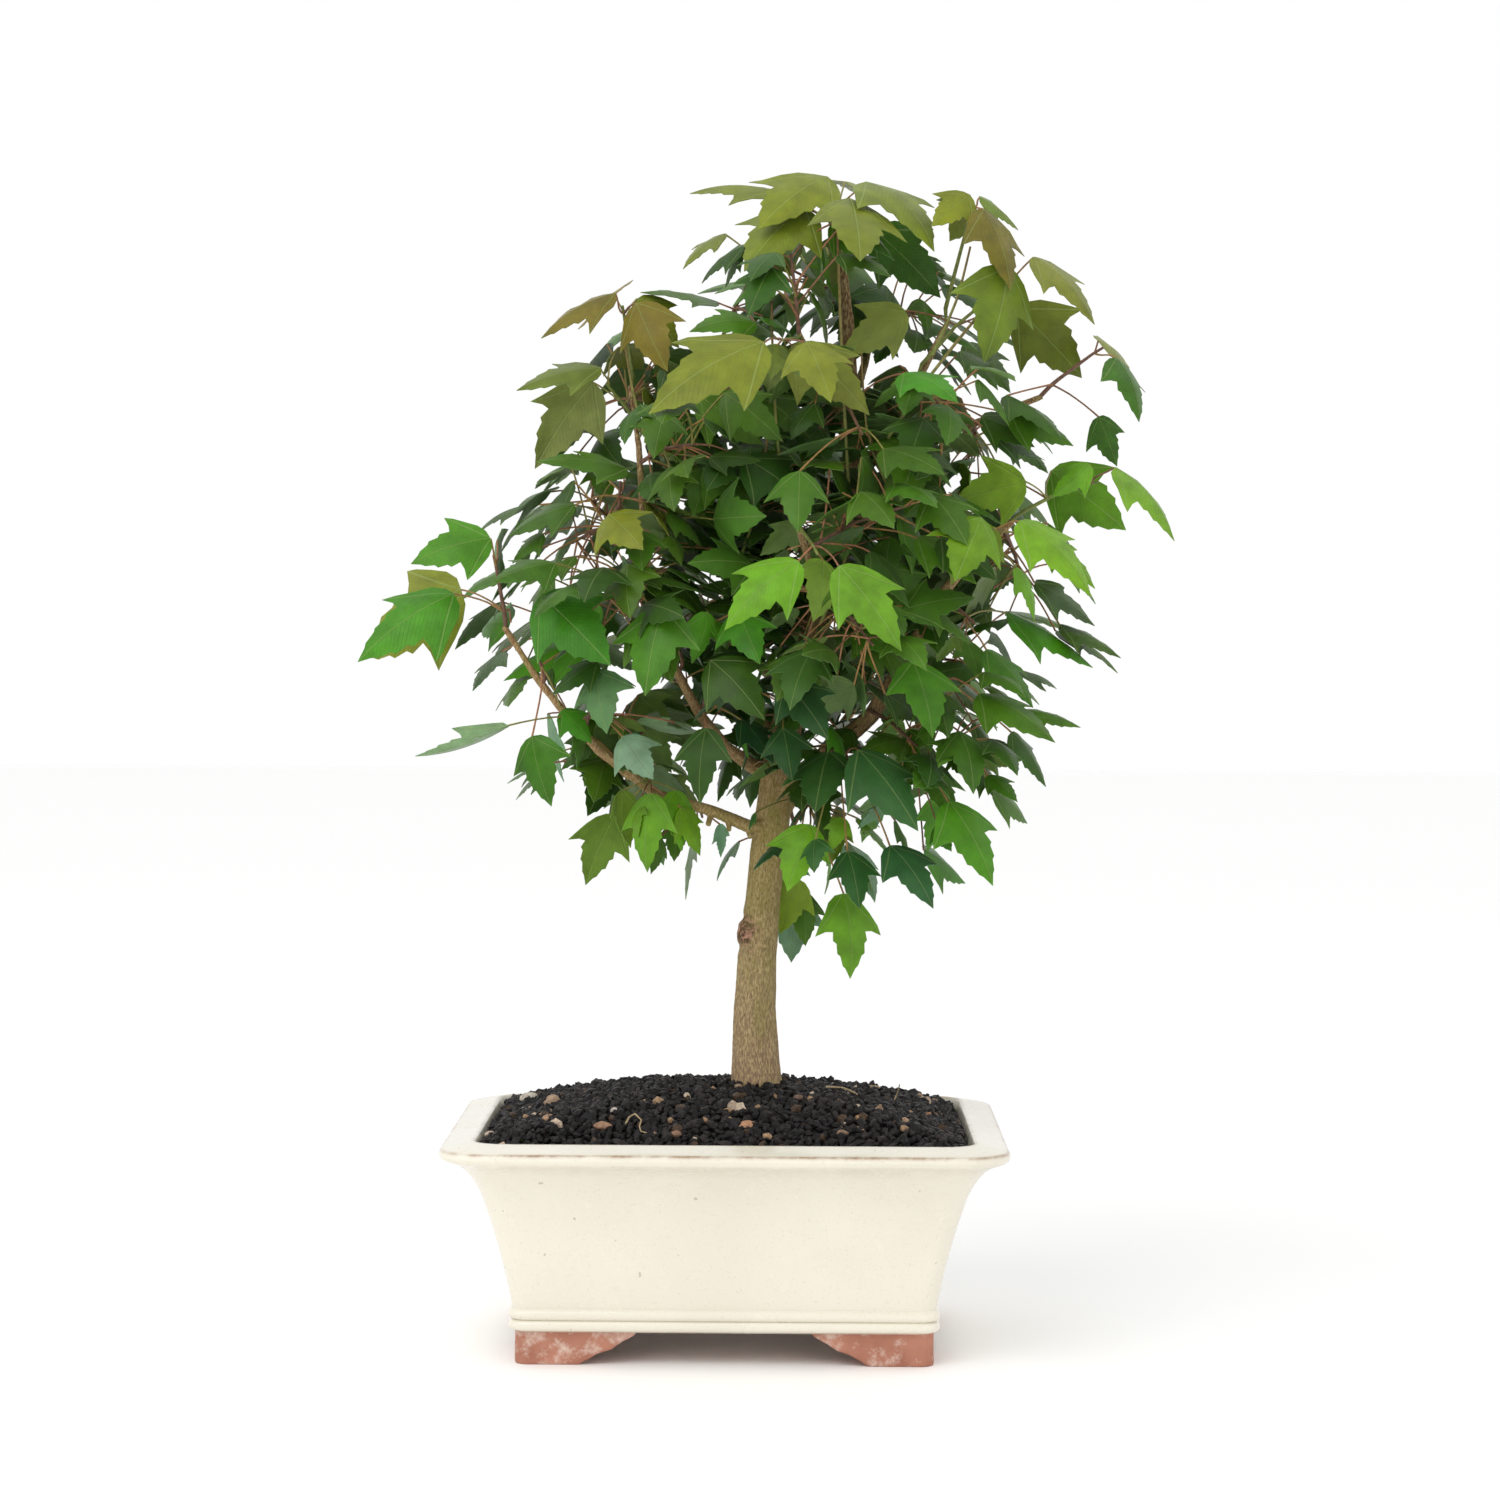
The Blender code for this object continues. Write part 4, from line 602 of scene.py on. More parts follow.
streaked = bark.mixed(streaks, bark_height_tone_and_painted_light, (0.56, 0.43, 0.215))
moss = bark.ramp(bark.noise(75.0, 5.0, 0.75, (1.0, 1.0, 0.4)), (0.48, 0.0), (0.66, 0.5))
mossy = bark.mixed(moss, streaked, (0.2, 0.19, 0.035))
fissures = bark.ramp(bark.noise(1300.0, 3.0, 0.6, (1.0, 1.0, 0.35)), (0.3, 0.55), (0.42, 0.0))
lined = bark.mixed(fissures, mossy, (0.07, 0.048, 0.028))
ridged = bark.ramp(bark.noise(420.0, 4.0, 0.7), (0.44, (0.055, 0.022, 0.014)), (0.58, (0.44, 0.24, 0.16)))
bark.feed("Base Color", bark.mixed(bark.stored("knot_share"), lined, ridged))
bark.bump(bark.noise(1100.0, 4.0, 0.7, (1.0, 1.0, 0.35)), 0.5, 0.0006)
bark.cover(wood)
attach(wood, "root")
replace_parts(wood, "trunk_and_branches")


# ---- Leafy shoots ----
# Each shoot is a thin twig with its leaves in crossed pairs, every leaf on a long stalk. A leaf has three
# forward lobes with a few teeth, a paler back, and raised main veins; the twig and the blades are grown
# where the frame's shoot has them, and smaller leaves fill in between.
LEAF_THICKNESS = 0.32 * MM
# Half of a leaf's outline from stalk to tip, and the midrib opposite, as shares of its length.
OUTLINE = (
    (0.0, 0.012, 0.0), (0.02, 0.12, 0.03), (0.1, 0.225, 0.1), (0.225, 0.31, 0.19), (0.37, 0.4, 0.27),
    (0.475, 0.455, 0.34), (0.44, 0.315, 0.4), (0.45, 0.22, 0.46), (0.56, 0.238, 0.54), (0.595, 0.195, 0.6),
    (0.71, 0.186, 0.69), (0.74, 0.143, 0.745), (0.85, 0.105, 0.83), (0.885, 0.066, 0.89), (1.0, 0.0, 1.0),
)
bpy.ops.object.select_all(action="DESELECT")
bpy.ops.mesh.primitive_grid_add(x_subdivisions=len(OUTLINE) - 1, y_subdivisions=4, size=2.0)
leaf = bpy.context.object
for vert in leaf.data.vertices:
    row = round((vert.co.x + 1) / 2 * (len(OUTLINE) - 1))
    rim_x, rim_y, midrib = OUTLINE[row]
    out = abs(vert.co.y)
    vert.co = (midrib + (rim_x - midrib) * out ** 1.2, math.copysign(rim_y * out, vert.co.y), 0.0)
edit_all()
bpy.ops.mesh.remove_doubles(threshold=0.0005)
bpy.ops.mesh.normals_make_consistent(inside=False)
bpy.ops.object.mode_set(mode="OBJECT")
if leaf.data.polygons[0].normal.z < 0:
    leaf.data.flip_normals()
thicken = leaf.modifiers.new("thicken", "SOLIDIFY")
thicken.thickness = 0.01
thicken.offset = 0.0
thicken.material_offset = 1
thicken.material_offset_rim = 1
bpy.ops.object.modifier_apply(modifier=thicken.name)
leaf_points = np.array([vert.co for vert in leaf.data.vertices])
leaf_faces = [tuple(face.vertices) for face in leaf.data.polygons]
leaf_top = [face.material_index == 0 for face in leaf.data.polygons]
bpy.data.objects.remove(leaf, do_unlink=True)

STALK_STEPS = 6
bpy.ops.mesh.primitive_cylinder_add(vertices=6, radius=1.0, depth=1.0, location=(0, 0, 0.5))
stalk = bpy.context.object
bpy.ops.object.mode_set(mode="EDIT")
for step in range(1, STALK_STEPS):
    bpy.ops.mesh.select_all(action="SELECT")
    bpy.ops.mesh.bisect(plane_co=(0, 0, step / STALK_STEPS), plane_no=(0, 0, 1))
bpy.ops.object.mode_set(mode="OBJECT")
bpy.ops.object.transform_apply(location=True)
stalk_points = np.array([vert.co for vert in stalk.data.vertices])
stalk_faces = [tuple(face.vertices) for face in stalk.data.polygons]
bpy.data.objects.remove(stalk, do_unlink=True)


def curve_through(points, share):
    """A place and a direction on a smooth line through three points or more."""
    spans = [0.0]
    for a, b in zip(points, points[1:]):
        spans.append(spans[-1] + (b - a).length)
    want = share * spans[-1]
    number = max(i for i in range(len(points) - 1) if spans[i] <= want + 1e-12)
    part = (want - spans[number]) / max(spans[number + 1] - spans[number], 1e-9)
    before = points[max(number - 1, 0)]
    a, b = points[number], points[number + 1]
    after = points[min(number + 2, len(points) - 1)]
    t2, t3 = part * part, part ** 3
    bend, twist = 2 * before - 5 * a + 4 * b - after, 3 * a - before - 3 * b + after
    place = 0.5 * (2 * a + (b - before) * part + bend * t2 + twist * t3)
    line = 0.5 * ((b - before) + bend * 2 * part + twist * 3 * t2)
    return place, (line.normalized() if line.length > 1e-9 else (b - a).normalized())


def bent_stalk(line, radius_at):
    """The stalk's points laid along a line, with its own radius at each share of the way."""
    made = np.empty_like(stalk_points)
    frames = {}
    across = None
    for step in range(STALK_STEPS + 1):
        place, along = curve_through(line, step / STALK_STEPS)
        across = along.orthogonal() if across is None else across - along * across.dot(along)
        across.normalize()
        frames[step] = (place, across.copy(), along.cross(across), radius_at(step / STALK_STEPS))
    for number, (x, y, z) in enumerate(stalk_points):
        place, across, up, radius = frames[round(z * STALK_STEPS)]
        made[number] = place + (across * x + up * y) * radius
    return made


def read_shoot(node):
    """The twig's line and each leaf's root, foot, tip and upper side, read from the frame's plain shoot."""
    bm = bmesh.new()
    bm.from_mesh(node.data)
    bmesh.ops.remove_doubles(bm, verts=bm.verts, dist=0.01 * MM)
    near = {vert: {edge.other_vert(vert) for edge in vert.link_edges} for vert in bm.verts}
    leaves, used = [], set()
    for top in bm.verts:
        if len(near[top]) != 8 or top in used:
            continue
        for bottom in {other for rim in near[top] for other in near[rim]} - near[top] - {top}:
            shared = near[top] & near[bottom]
            if len(near[bottom]) != 8 or len(shared) != 7:
                continue
            over, under = (near[top] - shared).pop(), (near[bottom] - shared).pop()
            foot = (over.co + under.co) / 2
            tip = max(shared, key=lambda vert: (vert.co - foot).length)
            along = (tip.co - foot).normalized()
            middle = (top.co + bottom.co) / 2 - foot
            lift = middle - along * middle.dot(along)
            ring = {over, under} | set(sorted(shared, key=lambda vert: (vert.co - foot).length)[:2])
            blade = shared | {top, bottom}
            behind = {other for vert in ring for other in near[vert]} - ring - blade
            knee = None
            centre = sum((vert.co for vert in behind), Vector()) / len(behind)
            if max((vert.co - centre).length for vert in behind) < 0.85 * MM:
                knee = centre
                root = {other for vert in behind for other in near[vert]} - ring - behind - blade
                used |= behind
                centre = sum((vert.co for vert in root), Vector()) / len(root)
            leaves.append((centre, knee, foot, tip.co.copy(), lift.normalized()))
            used |= blade | ring
            break
    rest = [vert.co.copy() for vert in bm.verts if vert not in used]
    bm.free()
    a = max(rest, key=lambda point: (point - rest[0]).length)
    b = max(rest, key=lambda point: (point - a).length)
    axis = (b - a).normalized()
    rest.sort(key=lambda point: (point - a).dot(axis))
    line = [sum(rest[i:i + 4], Vector()) / len(rest[i:i + 4]) for i in range(0, len(rest), 4)]
    return line, leaves


wood_points = [vert.co.copy() for vert in wood.data.vertices]
wood_tree = BVHTree.FromPolygons(wood_points, [tuple(face.vertices) for face in wood.data.polygons])
CROWN_MIDDLE = Vector((POT.x + 32 * MM, POT.y, CREST + 225 * MM))
CROWN_CORE = Vector((78 * MM, 72 * MM, 118 * MM))


def depth_in_crown(point):
    """How far out a point lies in the crown: 0 in its middle, 1 on the edge of its dense core."""
    away = point - CROWN_MIDDLE
    return Vector([part / half for part, half in zip(away, CROWN_CORE)]).length


# The colours that leaves have from opening to full age, each with its back: red, green and blue.
LEAF_TINTS = {
    "bronze": ((0.19, 0.15, 0.016), (0.2, 0.17, 0.04)), "olive": ((0.135, 0.175, 0.012), (0.17, 0.21, 0.045)),
    "lime": ((0.12, 0.275, 0.01), (0.17, 0.29, 0.03)), "bright": ((0.048, 0.185, 0.006), (0.12, 0.23, 0.045)),
    "mid": ((0.05, 0.13, 0.007), (0.11, 0.19, 0.045)), "dark": ((0.028, 0.08, 0.006), (0.09, 0.16, 0.05)),
    "blue": ((0.022, 0.082, 0.018), (0.09, 0.17, 0.08)), "pale": ((0.135, 0.265, 0.125), (0.15, 0.29, 0.15)),
}
# The main tint of each shoot and of one leaf in three or so.
SHOOT_TINTS = {
    "right_mid": ("bright", "mid"), "far_left": ("bright", "olive"), "left_pair": ("bright", "mid"),
    "left_pale": ("pale", "mid"), "left_hanging": ("lime", "pale"), "left_behind": ("pale", "mid"),
    "left_inner": ("dark", "blue"), "left_bright": ("bright", "mid"), "left_shoulder": ("mid", "olive"),
    "left_lower_umbrella": ("olive", "bronze"), "left_upper_umbrella": ("bronze", "olive"),
    "crown_left": ("mid", "olive"), "crown_top": ("olive", "bronze"), "crown_right": ("mid", "olive"),
    "right_high_umbrella": ("olive", "bronze"), "right_top": ("olive", "mid"),
    "far_right_top": ("mid", "olive"), "right_umbrella": ("lime", "olive"),
    "right_lime": ("lime", "bright"), "right_low": ("mid", "bright"),
    "right_hanging": ("bright", "blue"), "right_inner": ("blue", "bright"), "trunk_front": ("lime", "blue"),
    "trunk_behind": ("pale", "mid"), "centre_lime": ("lime", "lime"), "centre_low": ("blue", "bright"),
    "bronze_left": ("olive", "mid"), "front_high": ("mid", "bright"),
}
INNER_TINTS = ("mid", "dark")
taken = []


def blade_sheet(foot, tip, up):
    """A plain sheet as big as a blade, with the least and the greatest of its coordinates."""
    along = tip - foot
    across = up.cross(along)
    middle = foot + along * 0.42 + up * along.length * 0.05
    points = [foot, foot + along * 0.45 + across * 0.44, tip, foot + along * 0.45 - across * 0.44, middle]
    low, high = ([pick(point[i] for point in points) for i in range(3)] for pick in (min, max))
    return low, high, BVHTree.FromPolygons(points, [(4, 0, 1), (4, 1, 2), (4, 2, 3), (4, 3, 0)])


def crowded(sheet):
    """Whether a new blade would cut a blade that already stands in the crown, or the wood."""
    low, high, tree = sheet
    for other_low, other_high, other in taken:
        if all(low[i] <= other_high[i] and high[i] >= other_low[i] for i in range(3)) and tree.overlap(other):
            return True
    return bool(wood_tree.overlap(tree))


# The places of a shoot's finishes on its piece.
UPPER_SIDE, UNDERSIDE, TWIG = 0, 1, 2


class ShootMesh:
    """The points, faces, finishes and tints of one shoot as its parts are laid in."""

    def __init__(self):
        self.points, self.faces, self.finish, self.tints, self.places = [], [], [], [], []
        self.count = 0

    def lay(self, points, faces, finish, tints, places):
        self.points.append(points)
        self.faces += [tuple(index + self.count for index in face) for face in faces]
        self.finish += finish
        self.tints.append(tints)
        self.places.append(places)
        self.count += len(points)

    def lay_stalk(self, line, radius_at, tint):
        """Lay in a twig or stalk along a line, in one tint or in a tint for each point."""
        tube = bent_stalk(line, radius_at)
        tints = np.ones((len(tube), 1)) * tint
        self.lay(tube, stalk_faces, [TWIG] * len(stalk_faces), tints, np.zeros((len(tube), 2)))


def leaf_copy(foot, tip, up, dice):
    """A leaf's points: the flat leaf made its own width, arched, folded at the midrib and rippled."""
    along = tip - foot
    length = along.length
    along.normalize()
    across = up.cross(along).normalized()
    up = along.cross(across)
    x, y = leaf_points[:, 0].copy(), leaf_points[:, 1].copy()
    layer = np.sign(leaf_points[:, 2])
    broad = dice.uniform(0.9, 1.1) * (1 + dice.uniform(-0.08, 0.08) * np.sign(y))
    skew = dice.uniform(-0.03, 0.03)
    reach = np.abs(y) / 0.455
    x = x + dice.uniform(-0.05, 0.05) * reach ** 2 * (x < 0.55) + skew * y
    arch = dice.uniform(0.16, 0.34)
    fold = dice.uniform(0.1, 0.34)
    curl = dice.uniform(-0.02, 0.1)
    ripple = dice.uniform(0.008, 0.022)
    phase = dice.uniform(0, 6.28)
    z = arch * x * (1 - x) - fold * np.abs(y) * (0.6 + 0.9 * np.abs(y)) - curl * x ** 3
    z = z + ripple * np.sin(16 * x + phase + 2.4 * np.sign(y)) * reach + 0.01 * np.exp(-(y / 0.02) ** 2)
    made = np.array(foot) + np.outer(x * length, along) + np.outer(y * broad * length, across)
    return made + np.outer(z * length + layer * LEAF_THICKNESS / 2, up)


leaf_places = np.stack([leaf_points[:, 0], leaf_points[:, 1] + 0.5], axis=1)
leaf_finish = [UPPER_SIDE if top else UNDERSIDE for top in leaf_top]
leaf_upper = leaf_points[:, 2] > 0
shoots = {}
for name in sorted(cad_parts):
    if name.startswith("shoot_"):
        shoots[name] = read_shoot(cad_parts[name])
        for _, _, foot, tip, up in shoots[name][1]:
            taken.append(blade_sheet(foot, tip, up))

blade_top, blade_back = Finish("leaf_upper_side", 0.4), Finish("leaf_underside", 0.6)
green_twig = Finish("green_twig", 0.5)


def veins(finish):
    """How far a point of a blade lies on the midrib or a main side vein, and on a fine vein."""
    spot = finish.node("UVMap", uv_map="blade").outputs["UV"]
    parts = finish.node("SeparateXYZ", {"Vector": spot}).outputs
    along, aside = parts["X"], finish.maths("ABSOLUTE", finish.maths("SUBTRACT", parts["Y"], 0.5))
    side_line = finish.maths("MULTIPLY", aside, 0.72)
    side_line = finish.maths("SUBTRACT", side_line, finish.maths("MULTIPLY", along, 0.69))
    nearest = finish.maths("MINIMUM", aside, finish.maths("ABSOLUTE", side_line))
    limits = {"Value": nearest, "From Min": 0.003, "From Max": 0.011, "To Min": 1.0, "To Max": 0.0}
    slant = finish.maths("MULTIPLY", along, 62.0)
    slant = finish.maths("SUBTRACT", slant, finish.maths("MULTIPLY", aside, 70.0))
    wave = finish.maths("ABSOLUTE", finish.maths("SINE", slant))
    return finish.node("MapRange", limits).outputs["Result"], finish.ramp(wave, (0.0, 1.0), (0.22, 0.0))


# Each side's paleness along the veins, and how far they stand out of it or lie sunk in it.
for finish, paleness, relief in ((blade_top, 0.22, -0.3), (blade_back, 0.35, 0.55)):
    blotch = finish.mottle(0.78, 1.25, 90.0, 4.0, 0.6)
    mottled = finish.mixed(1.0, finish.stored("leaf_tint", "Color"), blotch, "MULTIPLY")
    main, fine = veins(finish)
    pale = finish.mixed(0.5, mottled, (0.36, 0.46, 0.16))
    veined = finish.mixed(finish.maths("MULTIPLY", main, paleness * 2), mottled, pale)
    veined = finish.mixed(finish.maths("MULTIPLY", fine, paleness * 0.4), veined, pale)
    finish.feed("Base Color", veined)
    height = finish.maths("ADD", main, finish.maths("MULTIPLY", fine, 0.45))
    height = finish.maths("MULTIPLY", height, relief * 2)
    height = finish.maths("ADD", height, finish.maths("MULTIPLY", finish.noise(1300.0, 3.0), 0.25))
    finish.bump(height, 0.6, 0.0007)
    finish.fix("Subsurface Weight", 0.12)
    finish.fix("Subsurface Radius", (0.35, 1.0, 0.12))
    finish.fix("Subsurface Scale", 0.0012)
blade_top.fix("Specular IOR Level", 0.22)
blade_back.fix("Specular IOR Level", 0.12)
green_twig.fix("Specular IOR Level", 0.25)
twig_blotch = green_twig.mottle(0.75, 1.3, 500.0, 3.0)
twig_tint = green_twig.mixed(1.0, green_twig.stored("leaf_tint", "Color"), twig_blotch, "MULTIPLY")
green_twig.feed("Base Color", twig_tint)
green_twig.bump(green_twig.noise(1800.0), 0.3, 0.0003)

# How far into the core the inmost leaves reach, how long their stalks may be, and their blades in mm.
CORE_TRIES = 2500
CORE_FILL = 0.85
CORE_STALK = (5 * MM, 42 * MM)
CORE_BLADE = (20, 34)
STALK_TINTS = ((0.3, 0.17, 0.06), (0.34, 0.16, 0.08), (0.22, 0.2, 0.05), (0.2, 0.1, 0.05))
EXTRA_LEAVES = 2
EXTRA_TRIES = 12
# The least distances of an extra leaf's foot and middle from the wood.
FOOT_CLEAR, BLADE_CLEAR = 3 * MM, 5 * MM
# How much of its length a leaf on the crown's flanks keeps, and how far out the flanks begin.
FLANK_LENGTH, FLANK_FROM = 0.78, 1.05
LOW_LEAF_Z = CREST + 170 * MM
# How far the blades of some shoots are rolled round to face the front.
FACING = {"far_left": 1.6, "left_bright": 0.5, "left_pair": 0.4, "left_hanging": 0.4, "right_hanging": 0.3}
FRONT = Vector((0.0, -1.0, 0.15))


def grow_leaves(shoot, starts, grown, usual, other, dice):
    """Lay leaves and their bowed stalks into a shoot, each in a tint of its own."""
    for number, (start, (root, knee, foot, tip, up, vigour)) in enumerate(zip(starts, grown)):
        way = foot - root
        sag = Vector((0, 0, 0.07 * way.length * dice.uniform(0.2, 1.4)))
        bow = way.orthogonal().normalized() * way.length * dice.uniform(-0.06, 0.06)
        path = [start, root + way * 0.33 + sag + bow, root + way * 0.7 + sag * 0.8 + bow * 0.6, foot]
        if knee is not None:
            path[1] = knee * 0.5 + path[1] * 0.5
        thin = 0.42 * MM * (0.75 + 0.25 * vigour)
        tint = STALK_TINTS[dice.integers(4)]
        shoot.lay_stalk(path, lambda share: thin * (1.25 - 0.9 * share * (1 - share) - 0.15 * share), tint)
        kind = usual if number < 2 or dice.random() < 0.65 else other
        upper, back = (np.array(part) for part in LEAF_TINTS[kind])
        warmth = dice.uniform(0.78, 1.25) * np.array((dice.uniform(0.88, 1.18), 1.0, dice.uniform(0.7, 1.3)))
        tints = np.where(leaf_upper[:, None], upper * warmth, back * warmth)
        shoot.lay(leaf_copy(foot, tip, up, dice), leaf_faces, leaf_finish, tints, leaf_places)


def leafy_piece(name, shoot):
    """One piece from all that was laid into a shoot."""
    piece = mesh_piece(name, np.concatenate(shoot.points), shoot.faces, shoot.finish)
    paint(piece, "leaf_tint", np.concatenate(shoot.tints))
    places = np.concatenate(shoot.places)
    corner_points = np.empty(len(piece.data.loops), np.int32)
    piece.data.loops.foreach_get("vertex_index", corner_points)
    blade = piece.data.uv_layers.new(name="blade")
    blade.data.foreach_set("uv", places[corner_points].astype(np.float32).ravel())
    for finish in (blade_top, blade_back, green_twig):
        finish.cover(piece)
    choose(piece)
    bpy.ops.object.shade_smooth_by_angle(angle=math.radians(60))
    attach(piece, "root")
    return piece


for name, (line, leaves) in shoots.items():
    dice = np.random.default_rng(sum(ord(letter) * (number + 3) for number, letter in enumerate(name)))
    short = name.removeprefix("shoot_")
    usual, other = SHOOT_TINTS.get(short, INNER_TINTS)
    if wood_tree.find_nearest(line[-1])[3] < wood_tree.find_nearest(line[0])[3]:
        line.reverse()
    spot, normal, _, _ = wood_tree.find_nearest(line[0])
    line = [spot - normal * 0.6 * MM] + line
    young = usual in ("lime", "olive", "bronze")
    shoot = ShootMesh()
    bark_tint = (0.17, 0.2, 0.05) if young else (0.16, 0.085, 0.055)
    shoot.lay_stalk(line, lambda share: (1.05 - 0.45 * share) * MM, bark_tint)

    rolled = FACING.get(short, 0.2 if leaves and leaves[0][2].y < POT.y else 0.0) * FRONT
    grown = []
    for root, knee, foot, tip, up in leaves:
        flank = short not in SHOOT_TINTS and depth_in_crown(tip) > FLANK_FROM
        tip = foot + (tip - foot) * (FLANK_LENGTH if flank else 1.0)
        grown.append((root, knee, foot, tip, (up + rolled).normalized(), 1.0))
    for extra, (root, _, foot, tip, up) in itertools.product(range(EXTRA_LEAVES), leaves):
        for _ in range(EXTRA_TRIES):
            turn = Matrix.Rotation(math.radians(dice.uniform(35, 325)), 3, "Z")
            tilt = Matrix.Rotation(math.radians(dice.uniform(-35, 35)), 3, up)
            size = dice.uniform(0.45, 0.85)
            new_foot = root + turn @ (foot - root) * dice.uniform(0.5, 0.95)
            new_tip = new_foot + tilt @ turn @ (tip - foot) * size
            new_up = (turn @ up).normalized()
            limit = 0.95 if extra else min(1.12, 0.93 * depth_in_crown(tip))
            if foot.z < LOW_LEAF_Z:
                limit = 1.6
            if depth_in_crown(new_tip) > limit:
                continue
            if wood_tree.find_nearest(new_foot)[3] < FOOT_CLEAR:
                continue
            if wood_tree.find_nearest((new_foot + new_tip) / 2)[3] < BLADE_CLEAR:
                continue
            sheet = blade_sheet(new_foot, new_tip, new_up)
            if crowded(sheet):
                continue
            taken.append(sheet)
            grown.append((root, None, new_foot, new_tip, new_up, 0.8))
            break
    middle = curve_through(line, 0.5)[0]
    starts = [root - (root - middle).normalized() * 0.2 * MM for root, *_ in grown]
    grow_leaves(shoot, starts, grown, usual, other, dice)
    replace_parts(leafy_piece("leaves_" + short, shoot), name)

# Small leaves on stalks of their own stand straight on the wood inside the crown.
dice = np.random.default_rng(31)
grown, starts = [], []
for _ in range(CORE_TRIES):
    share = Vector(dice.uniform(-1, 1, 3))
    foot = CROWN_MIDDLE + Vector([part * half for part, half in zip(share, CROWN_CORE)]) * CORE_FILL
    spot, normal, _, gap = wood_tree.find_nearest(foot)
    outward = (foot - spot).normalized() + Vector((0.0, -0.3, -0.35)) + Vector(dice.normal(0, 0.35, 3))
    tip = foot + outward.normalized() * dice.uniform(*CORE_BLADE) * MM
    up = Vector((0.0, -0.45, 0.8)) + Vector(dice.normal(0, 0.3, 3))
    up = (up - outward.normalized() * up.dot(outward.normalized())).normalized()
    sheet = blade_sheet(foot, tip, up)
    if share.length > 1 or not CORE_STALK[0] < gap < CORE_STALK[1] or crowded(sheet):
        continue
    taken.append(sheet)
    starts.append(spot - normal * 0.5 * MM)
    grown.append((spot, None, foot, tip, up, 0.7))
core = ShootMesh()
grow_leaves(core, starts, grown, "dark", "mid", dice)
leafy_piece("leaves_of_the_core", core)

# Long straight stems rise through the front of the crown to the umbrellas of leaves at its top. Each is
# three points in mm from the pot's middle and the soil's crest, and a thickness, and reddens as it rises.
STEMS = (
    ((61.6, -35, 274.6), (88, -37, 314), (116.9, -35, 350), 0.85),
    ((53, -36, 248), (49, -38, 312), (46.3, -30, 378), 0.8),
    ((22, -30, 272), (19, -34, 310), (18, -28, 345), 0.7),
    ((88, -30, 322), (98, -34, 345), (104.2, -30, 369), 0.7),
    ((-37, -30, 286), (-42, -32, 305), (-46, -28, 327), 0.7),
    ((40, -42, 205), (49, -45, 228), (58, -40, 262), 0.8),
    ((70, -38, 262), (60, -42, 286), (57, -38, 322), 0.6),
    ((6, -40, 236), (14, -42, 262), (17, -36, 296), 0.6),
)
STEM_FOOT_TINT, STEM_TINT_CHANGE = np.array((0.21, 0.25, 0.06)), np.array((-0.05, -0.16, -0.03))
stems = ShootMesh()
for *line, thickness in STEMS:
    line = [TREE_FOOT + Vector(point) * MM for point in line]
    fade = STEM_FOOT_TINT + stalk_points[:, 2:] * STEM_TINT_CHANGE
    stems.lay_stalk(line, lambda share: thickness * (1 - 0.3 * share) * MM, fade)
leafy_piece("long_stems", stems)


# ---- Seedling and straws ----
# A weed has just come up by the front rim, a tuft of bright round leaves the size of a grain. A curled
# root fibre and two bits of straw lie on the soil.
seedling = ShootMesh()
sprout_spot = Vector((POT.x - 86.0 * MM, POT.y - 70.0 * MM, SOIL_EDGE_Z + 2.2 * MM))
for turn in range(6):
    angle = 2 * math.pi * turn / 6
    reach = Vector((math.cos(angle), math.sin(angle), 0.75)) * (2.4 if turn % 2 else 1.7) * MM
    up = Vector((-0.75 * math.cos(angle), -0.75 * math.sin(angle), 1.0)).normalized()
    blade = leaf_copy(sprout_spot, sprout_spot + reach, up, np.random.default_rng(turn))
    bright = np.tile((0.28, 0.62, 0.03), (len(leaf_points), 1))
    seedling.lay(blade, leaf_faces, leaf_finish, bright, leaf_places)
leafy_piece("seedling", seedling)
dry_straw = Finish("dry_straw", 0.7)
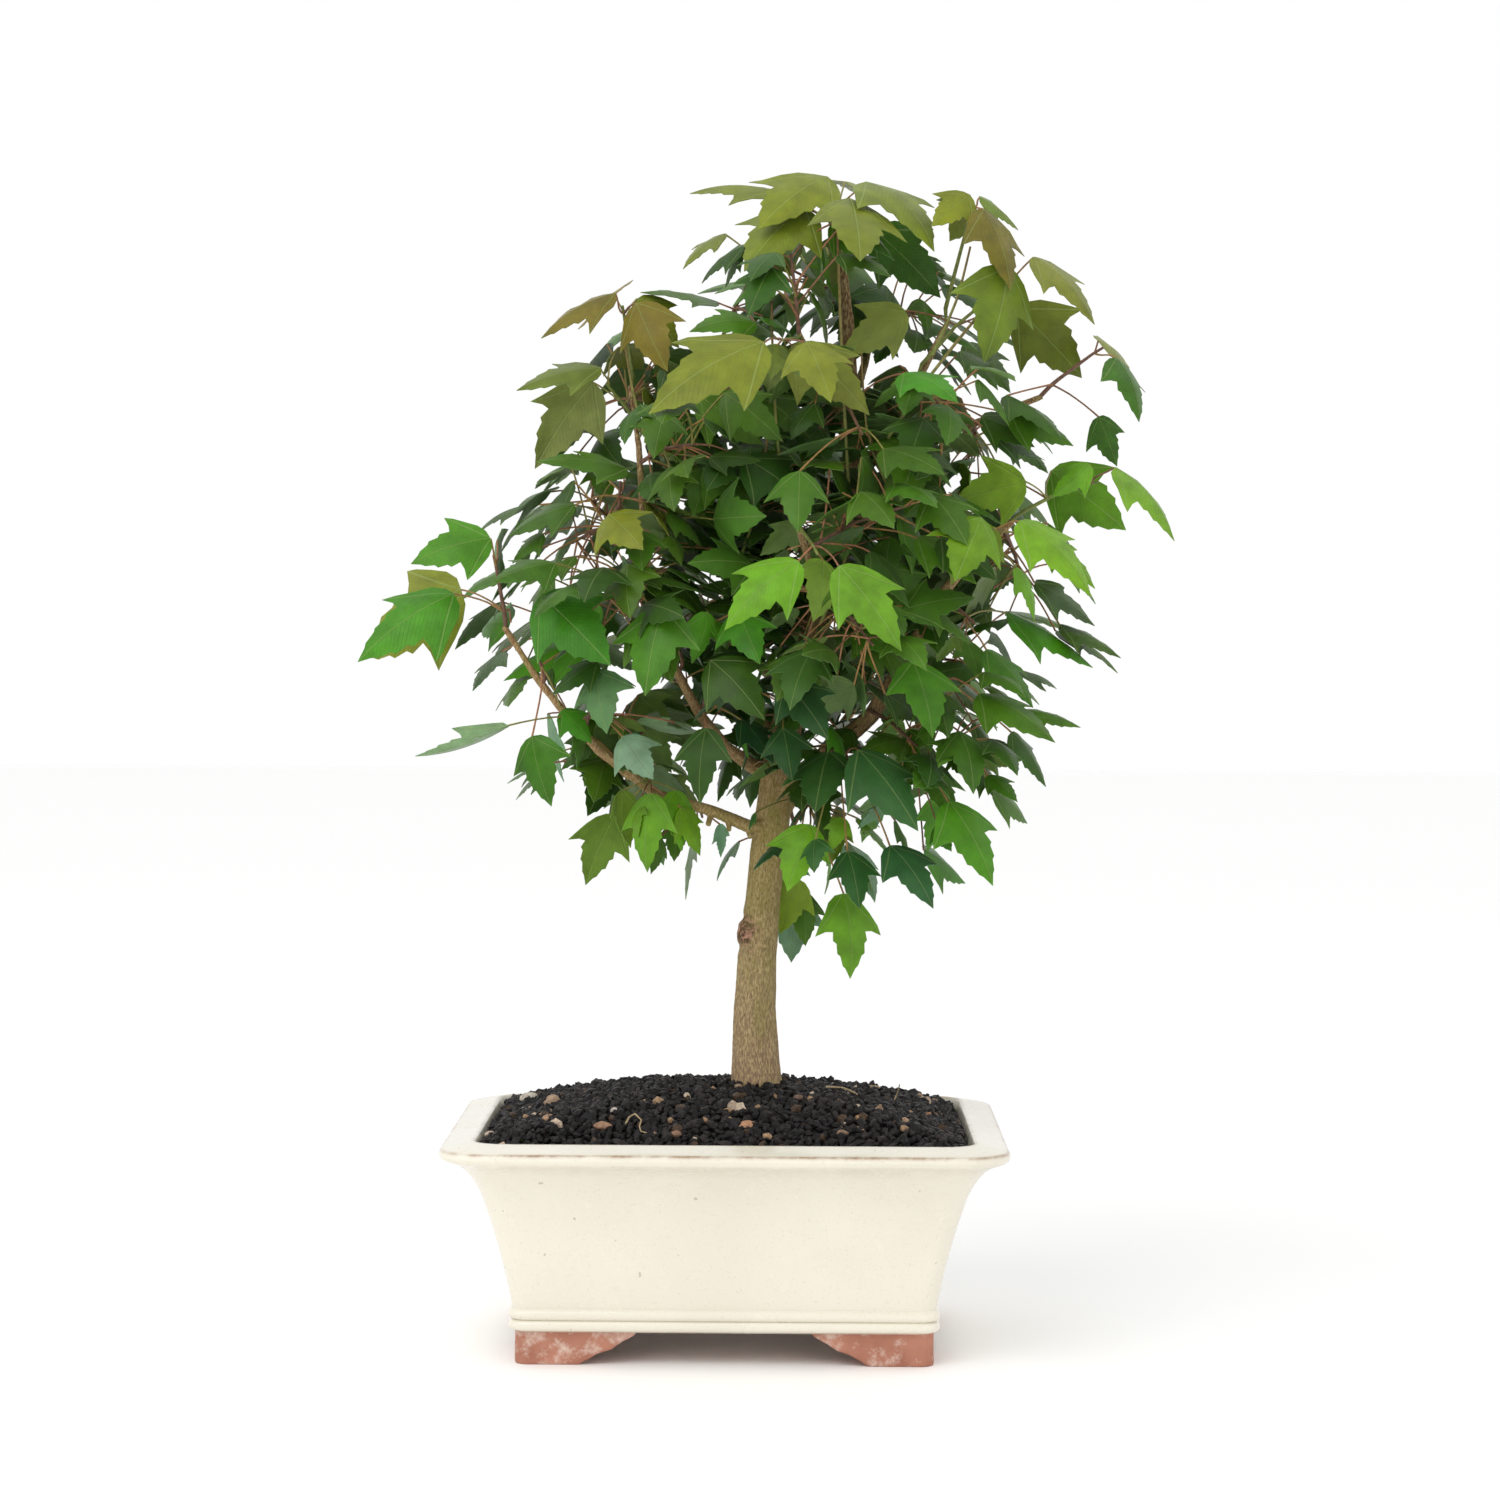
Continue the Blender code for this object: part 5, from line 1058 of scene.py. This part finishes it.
dry_straw.feed("Base Color", dry_straw.mottle((0.3, 0.21, 0.11), (0.5, 0.39, 0.23), 300.0))
dry_straw.bump(dry_straw.noise(1500.0), 0.3, 0.0002)
# Points in X and Y from the pot's middle and in Z above the mound, then the radius, all in mm.
STRAWS = {
    "root_fibre": (((-43, -62, 1.5), (-40, -58, 4.5), (-36, -61, 3), (-37, -66, 1.5), (-33, -70, 2)), 0.45),
    "straw_upright": (((74, 10, 0.5), (76, 9, 5.0), (77, 6, 10.0)), 0.4),
    "straw_lying": (((44, 2, 2.0), (52, 0, 3.2), (58, -3, 2.0)), 0.55),
}
for name, (line, radius) in STRAWS.items():
    laid = []
    for x, y, z in line:
        laid.append(Vector((POT.x + x * MM, POT.y + y * MM, mound_height(x * MM, y * MM) + z * MM)))
    straw = mesh_piece(name, bent_stalk(laid, lambda share: radius * (1 - 0.4 * share) * MM), stalk_faces)
    dry_straw.cover(straw)
    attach(straw, "root")


# ---- Floor and light ----
# The pot stands on a pale floor in an even white studio, with one broad soft light over the left
# shoulder that rounds the trunk and lays a faint shadow under the pot.
pale_floor = Finish("pale_floor", 0.6)
pale_floor.fix("Base Color", (0.975, 0.975, 0.97, 1.0))
bpy.ops.object.select_all(action="DESELECT")
bpy.ops.mesh.primitive_plane_add(size=8.0, location=(0, 2.0, 0))
floor = bpy.context.object
floor.name = "floor"
pale_floor.cover(floor)
world = bpy.data.worlds.new("studio")
bpy.context.scene.world = world
world.use_nodes = True
sky = world.node_tree.nodes["Background"]
sky.inputs["Color"].default_value = (1.0, 1.0, 1.0, 1.0)
sky.inputs["Strength"].default_value = 1.0
key_data = bpy.data.lights.new("key_light", "AREA")
key_data.energy = 18.0
key_data.size = 1.6
key = bpy.data.objects.new("key_light", key_data)
key.location = (-0.9, -1.3, 1.8)
key.rotation_euler = (Vector((0, 0, 0.25)) - key.location).to_track_quat("-Z", "Y").to_euler()
bpy.context.scene.collection.objects.link(key)
bpy.context.scene.view_settings.view_transform = "Standard"
